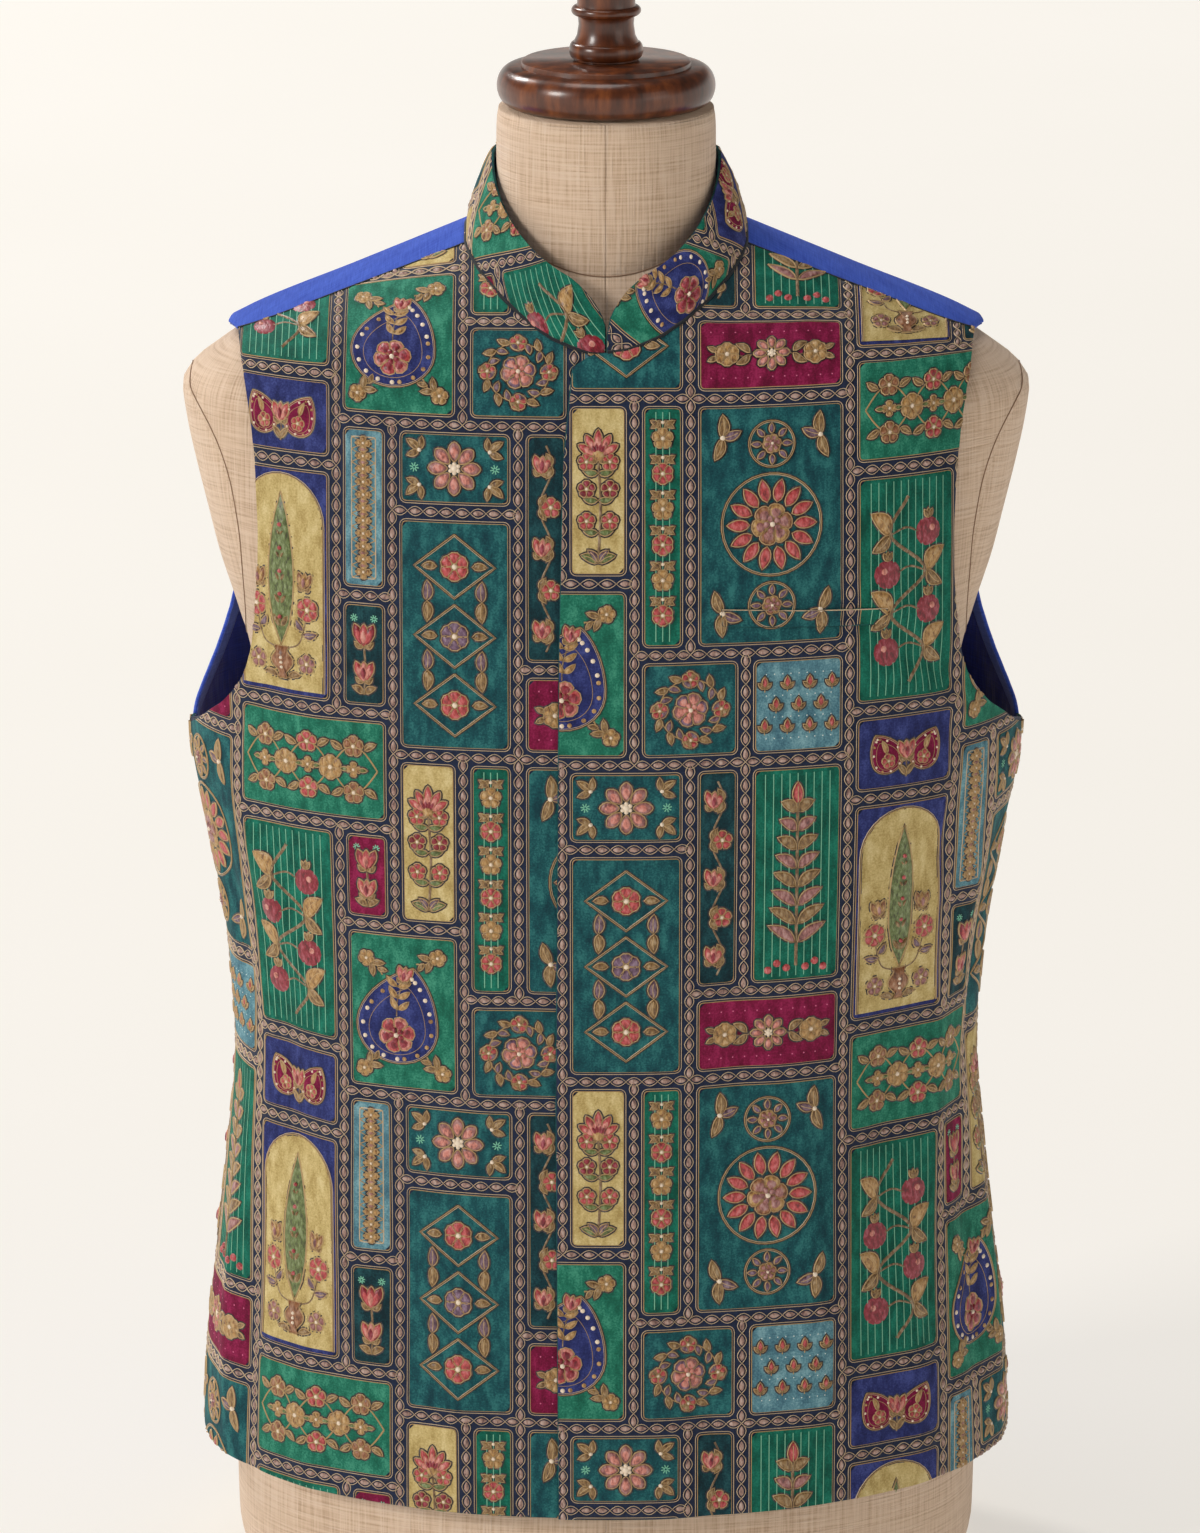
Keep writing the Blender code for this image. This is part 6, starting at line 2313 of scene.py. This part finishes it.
AIM = (-0.00312, 0.0, 0.431169)
CAMERA_DISTANCE = 3.8
CAMERA_TILT = math.radians(15.5)
LENS = 219.23
FLOOR_RADIUS = 24.0
FLOOR_SIDES = 96
FLOOR_REACH = (0.3, 9.2)
FLOOR_GLOW = (0.61, 0.88)
ROOM_HEIGHT = (0.10, 0.26)
ROOM_GLOW = (0.93, 0.09)
LAMP_AIM = (0.0, 0.0, 0.45)
LAMP_COLUMNS = ("name", "place", "size", "power", "colour")
LAMPS = (
    ("key", (-7.8, -5.0, 4.75), 2.4, 480.0, (1.0, 0.97, 0.93)),
    ("fill", (6.4, -4.6, 2.95), 4.4, 60.0, (1.0, 0.93, 0.85)),
    ("back", (-5.2, 5.6, 6.2), 2.0, 400.0, (1.0, 0.98, 0.95)),
    ("top", (-0.3, 0.1, 3.2), 1.4, 22.0, (1.0, 0.98, 0.95)),
)


def make_camera(scene):
    data = bpy.data.cameras.new("camera")
    data.lens = LENS
    data.sensor_width = 36.0
    data.sensor_fit = "HORIZONTAL"
    camera = bpy.data.objects.new("camera", data)
    back = CAMERA_DISTANCE * math.cos(CAMERA_TILT)
    rise = CAMERA_DISTANCE * math.sin(CAMERA_TILT)
    camera.location = (AIM[0], AIM[1] - back, AIM[2] + rise)
    camera.rotation_euler = (math.pi / 2 - CAMERA_TILT, 0.0, 0.0)
    scene.collection.objects.link(camera)
    scene.camera = camera


def area_light(lamp):
    """Soft square light that faces the middle of the jacket."""
    data = bpy.data.lights.new(lamp["name"], "AREA")
    data.shape = "SQUARE"
    data.size = lamp["size"]
    data.energy = lamp["power"]
    data.color = lamp["colour"]
    light = bpy.data.objects.new(lamp["name"], data)
    light.location = lamp["place"]
    aim = Vector(LAMP_AIM) - Vector(lamp["place"])
    light.rotation_euler = aim.to_track_quat("-Z", "Y").to_euler()
    bpy.context.scene.collection.objects.link(light)


def set_range(node, ends, results):
    """Sets a map range node: what it reads from one end to the other, and what it gives there."""
    for socket, value in zip(("From Min", "From Max", "To Min", "To Max"), ends + results):
        node.inputs[socket].default_value = value


def make_stage():
    """Pale round floor, wider than any view of it, that glows a little more far away."""
    made = Finish("pale_floor", tone(170, 167, 161), 0.95)
    cloud = made.noise(made.coords(solid=True), 1.2, 2.0)
    made.colour(made.ramp(cloud, (0.3, tone(168, 165, 159)), (0.7, tone(172, 169, 164))))
    made.put("Emission Color", tone(248, 244, 237))
    reach = made.nodes.new("ShaderNodeVectorMath")
    reach.operation = "LENGTH"
    made.links.new(made.coords(solid=True), reach.inputs[0])
    glow = made.node("ShaderNodeMapRange", Value=reach.outputs["Value"])
    set_range(glow, FLOOR_REACH, FLOOR_GLOW)
    made.links.new(glow.outputs["Result"], made.shader.inputs["Emission Strength"])
    turn = np.linspace(0, 2 * math.pi, FLOOR_SIDES, endpoint=False)
    rim = np.stack([np.cos(turn), np.sin(turn), 0 * turn], -1) * FLOOR_RADIUS
    side = np.arange(FLOOR_SIDES)
    slices = np.stack([side, np.roll(side, -1), np.full(FLOOR_SIDES, FLOOR_SIDES)], -1)
    points = np.concatenate([rim, [[0.0, 0.0, 0.0]]])
    mesh_object("studio_floor", points, [slices], [made.material])


def light_scene(scene):
    """Soft studio light: a warm room that is bright up to the horizon and dim above it, and lamps."""
    world = bpy.data.worlds.new("studio")
    world.use_nodes = True
    nodes, links = world.node_tree.nodes, world.node_tree.links
    background = nodes["Background"]
    background.inputs["Color"].default_value = tone(250, 246, 239)
    direction = nodes.new("ShaderNodeTexCoord")
    height = nodes.new("ShaderNodeSeparateXYZ")
    glow = nodes.new("ShaderNodeMapRange")
    set_range(glow, ROOM_HEIGHT, ROOM_GLOW)
    links.new(direction.outputs["Generated"], height.inputs["Vector"])
    links.new(height.outputs["Z"], glow.inputs["Value"])
    links.new(glow.outputs["Result"], background.inputs["Strength"])
    scene.world = world
    for row in LAMPS:
        area_light(dict(zip(LAMP_COLUMNS, row)))
    scene.view_settings.view_transform = "Standard"


# --- Put together ---------------------------------------------------------------------------

REPLACES = {
    "linen_torso": "form_torso",
    "linen_neck": "form_neck",
    "linen_arm_plate_left": "arm_plate_left",
    "linen_arm_plate_right": "arm_plate_right",
    "turned_cap": "neck_cap",
    "turned_finial": "finial",
}


def put_form(finishes):
    """The dress form, each of its bodies in its CAD node's place."""
    linen, thread, wood = finishes["linen"], finishes["linen_thread"], finishes["wood"]
    torso, neck_seam, tops, angles = make_torso(linen, thread)
    linens = [torso, neck_seam, make_neck(linen, tops, angles)]
    for side, word in ((1, "left"), (-1, "right")):
        linens += make_plate(linen, thread, side, word)
    cap, head = make_cap(wood)
    woods = [cap, make_finial(wood, head)]
    for slot, objects in (("linen", linens), ("wood", woods)):
        for obj in objects:
            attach(obj, "root")
            if obj.name in REPLACES:
                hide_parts(REPLACES[obj.name])


def put_jacket(finishes):
    """The jacket's pieces, each with its print and its seams. Each piece's flat size is worked out, and
    nothing uses it.
    """
    pieces, extras = make_jacket(finishes)
    prints = print_jacket(pieces, finishes)
    for node, (piece, cloth) in pieces.items():
        sewn = list(prints.get(node, ())) + [extras[node]]
        area, (width, length) = flat_area(cloth.grids)
        if node == "back":
            area, width = 2 * area, 2 * width
        for obj in [piece] + sewn:
            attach(obj, "root")
        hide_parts(node)


def main():
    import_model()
    scene = bpy.context.scene
    finishes = make_finishes()
    put_form(finishes)
    put_jacket(finishes)
    make_stage()
    light_scene(scene)
    make_camera(scene)


main()
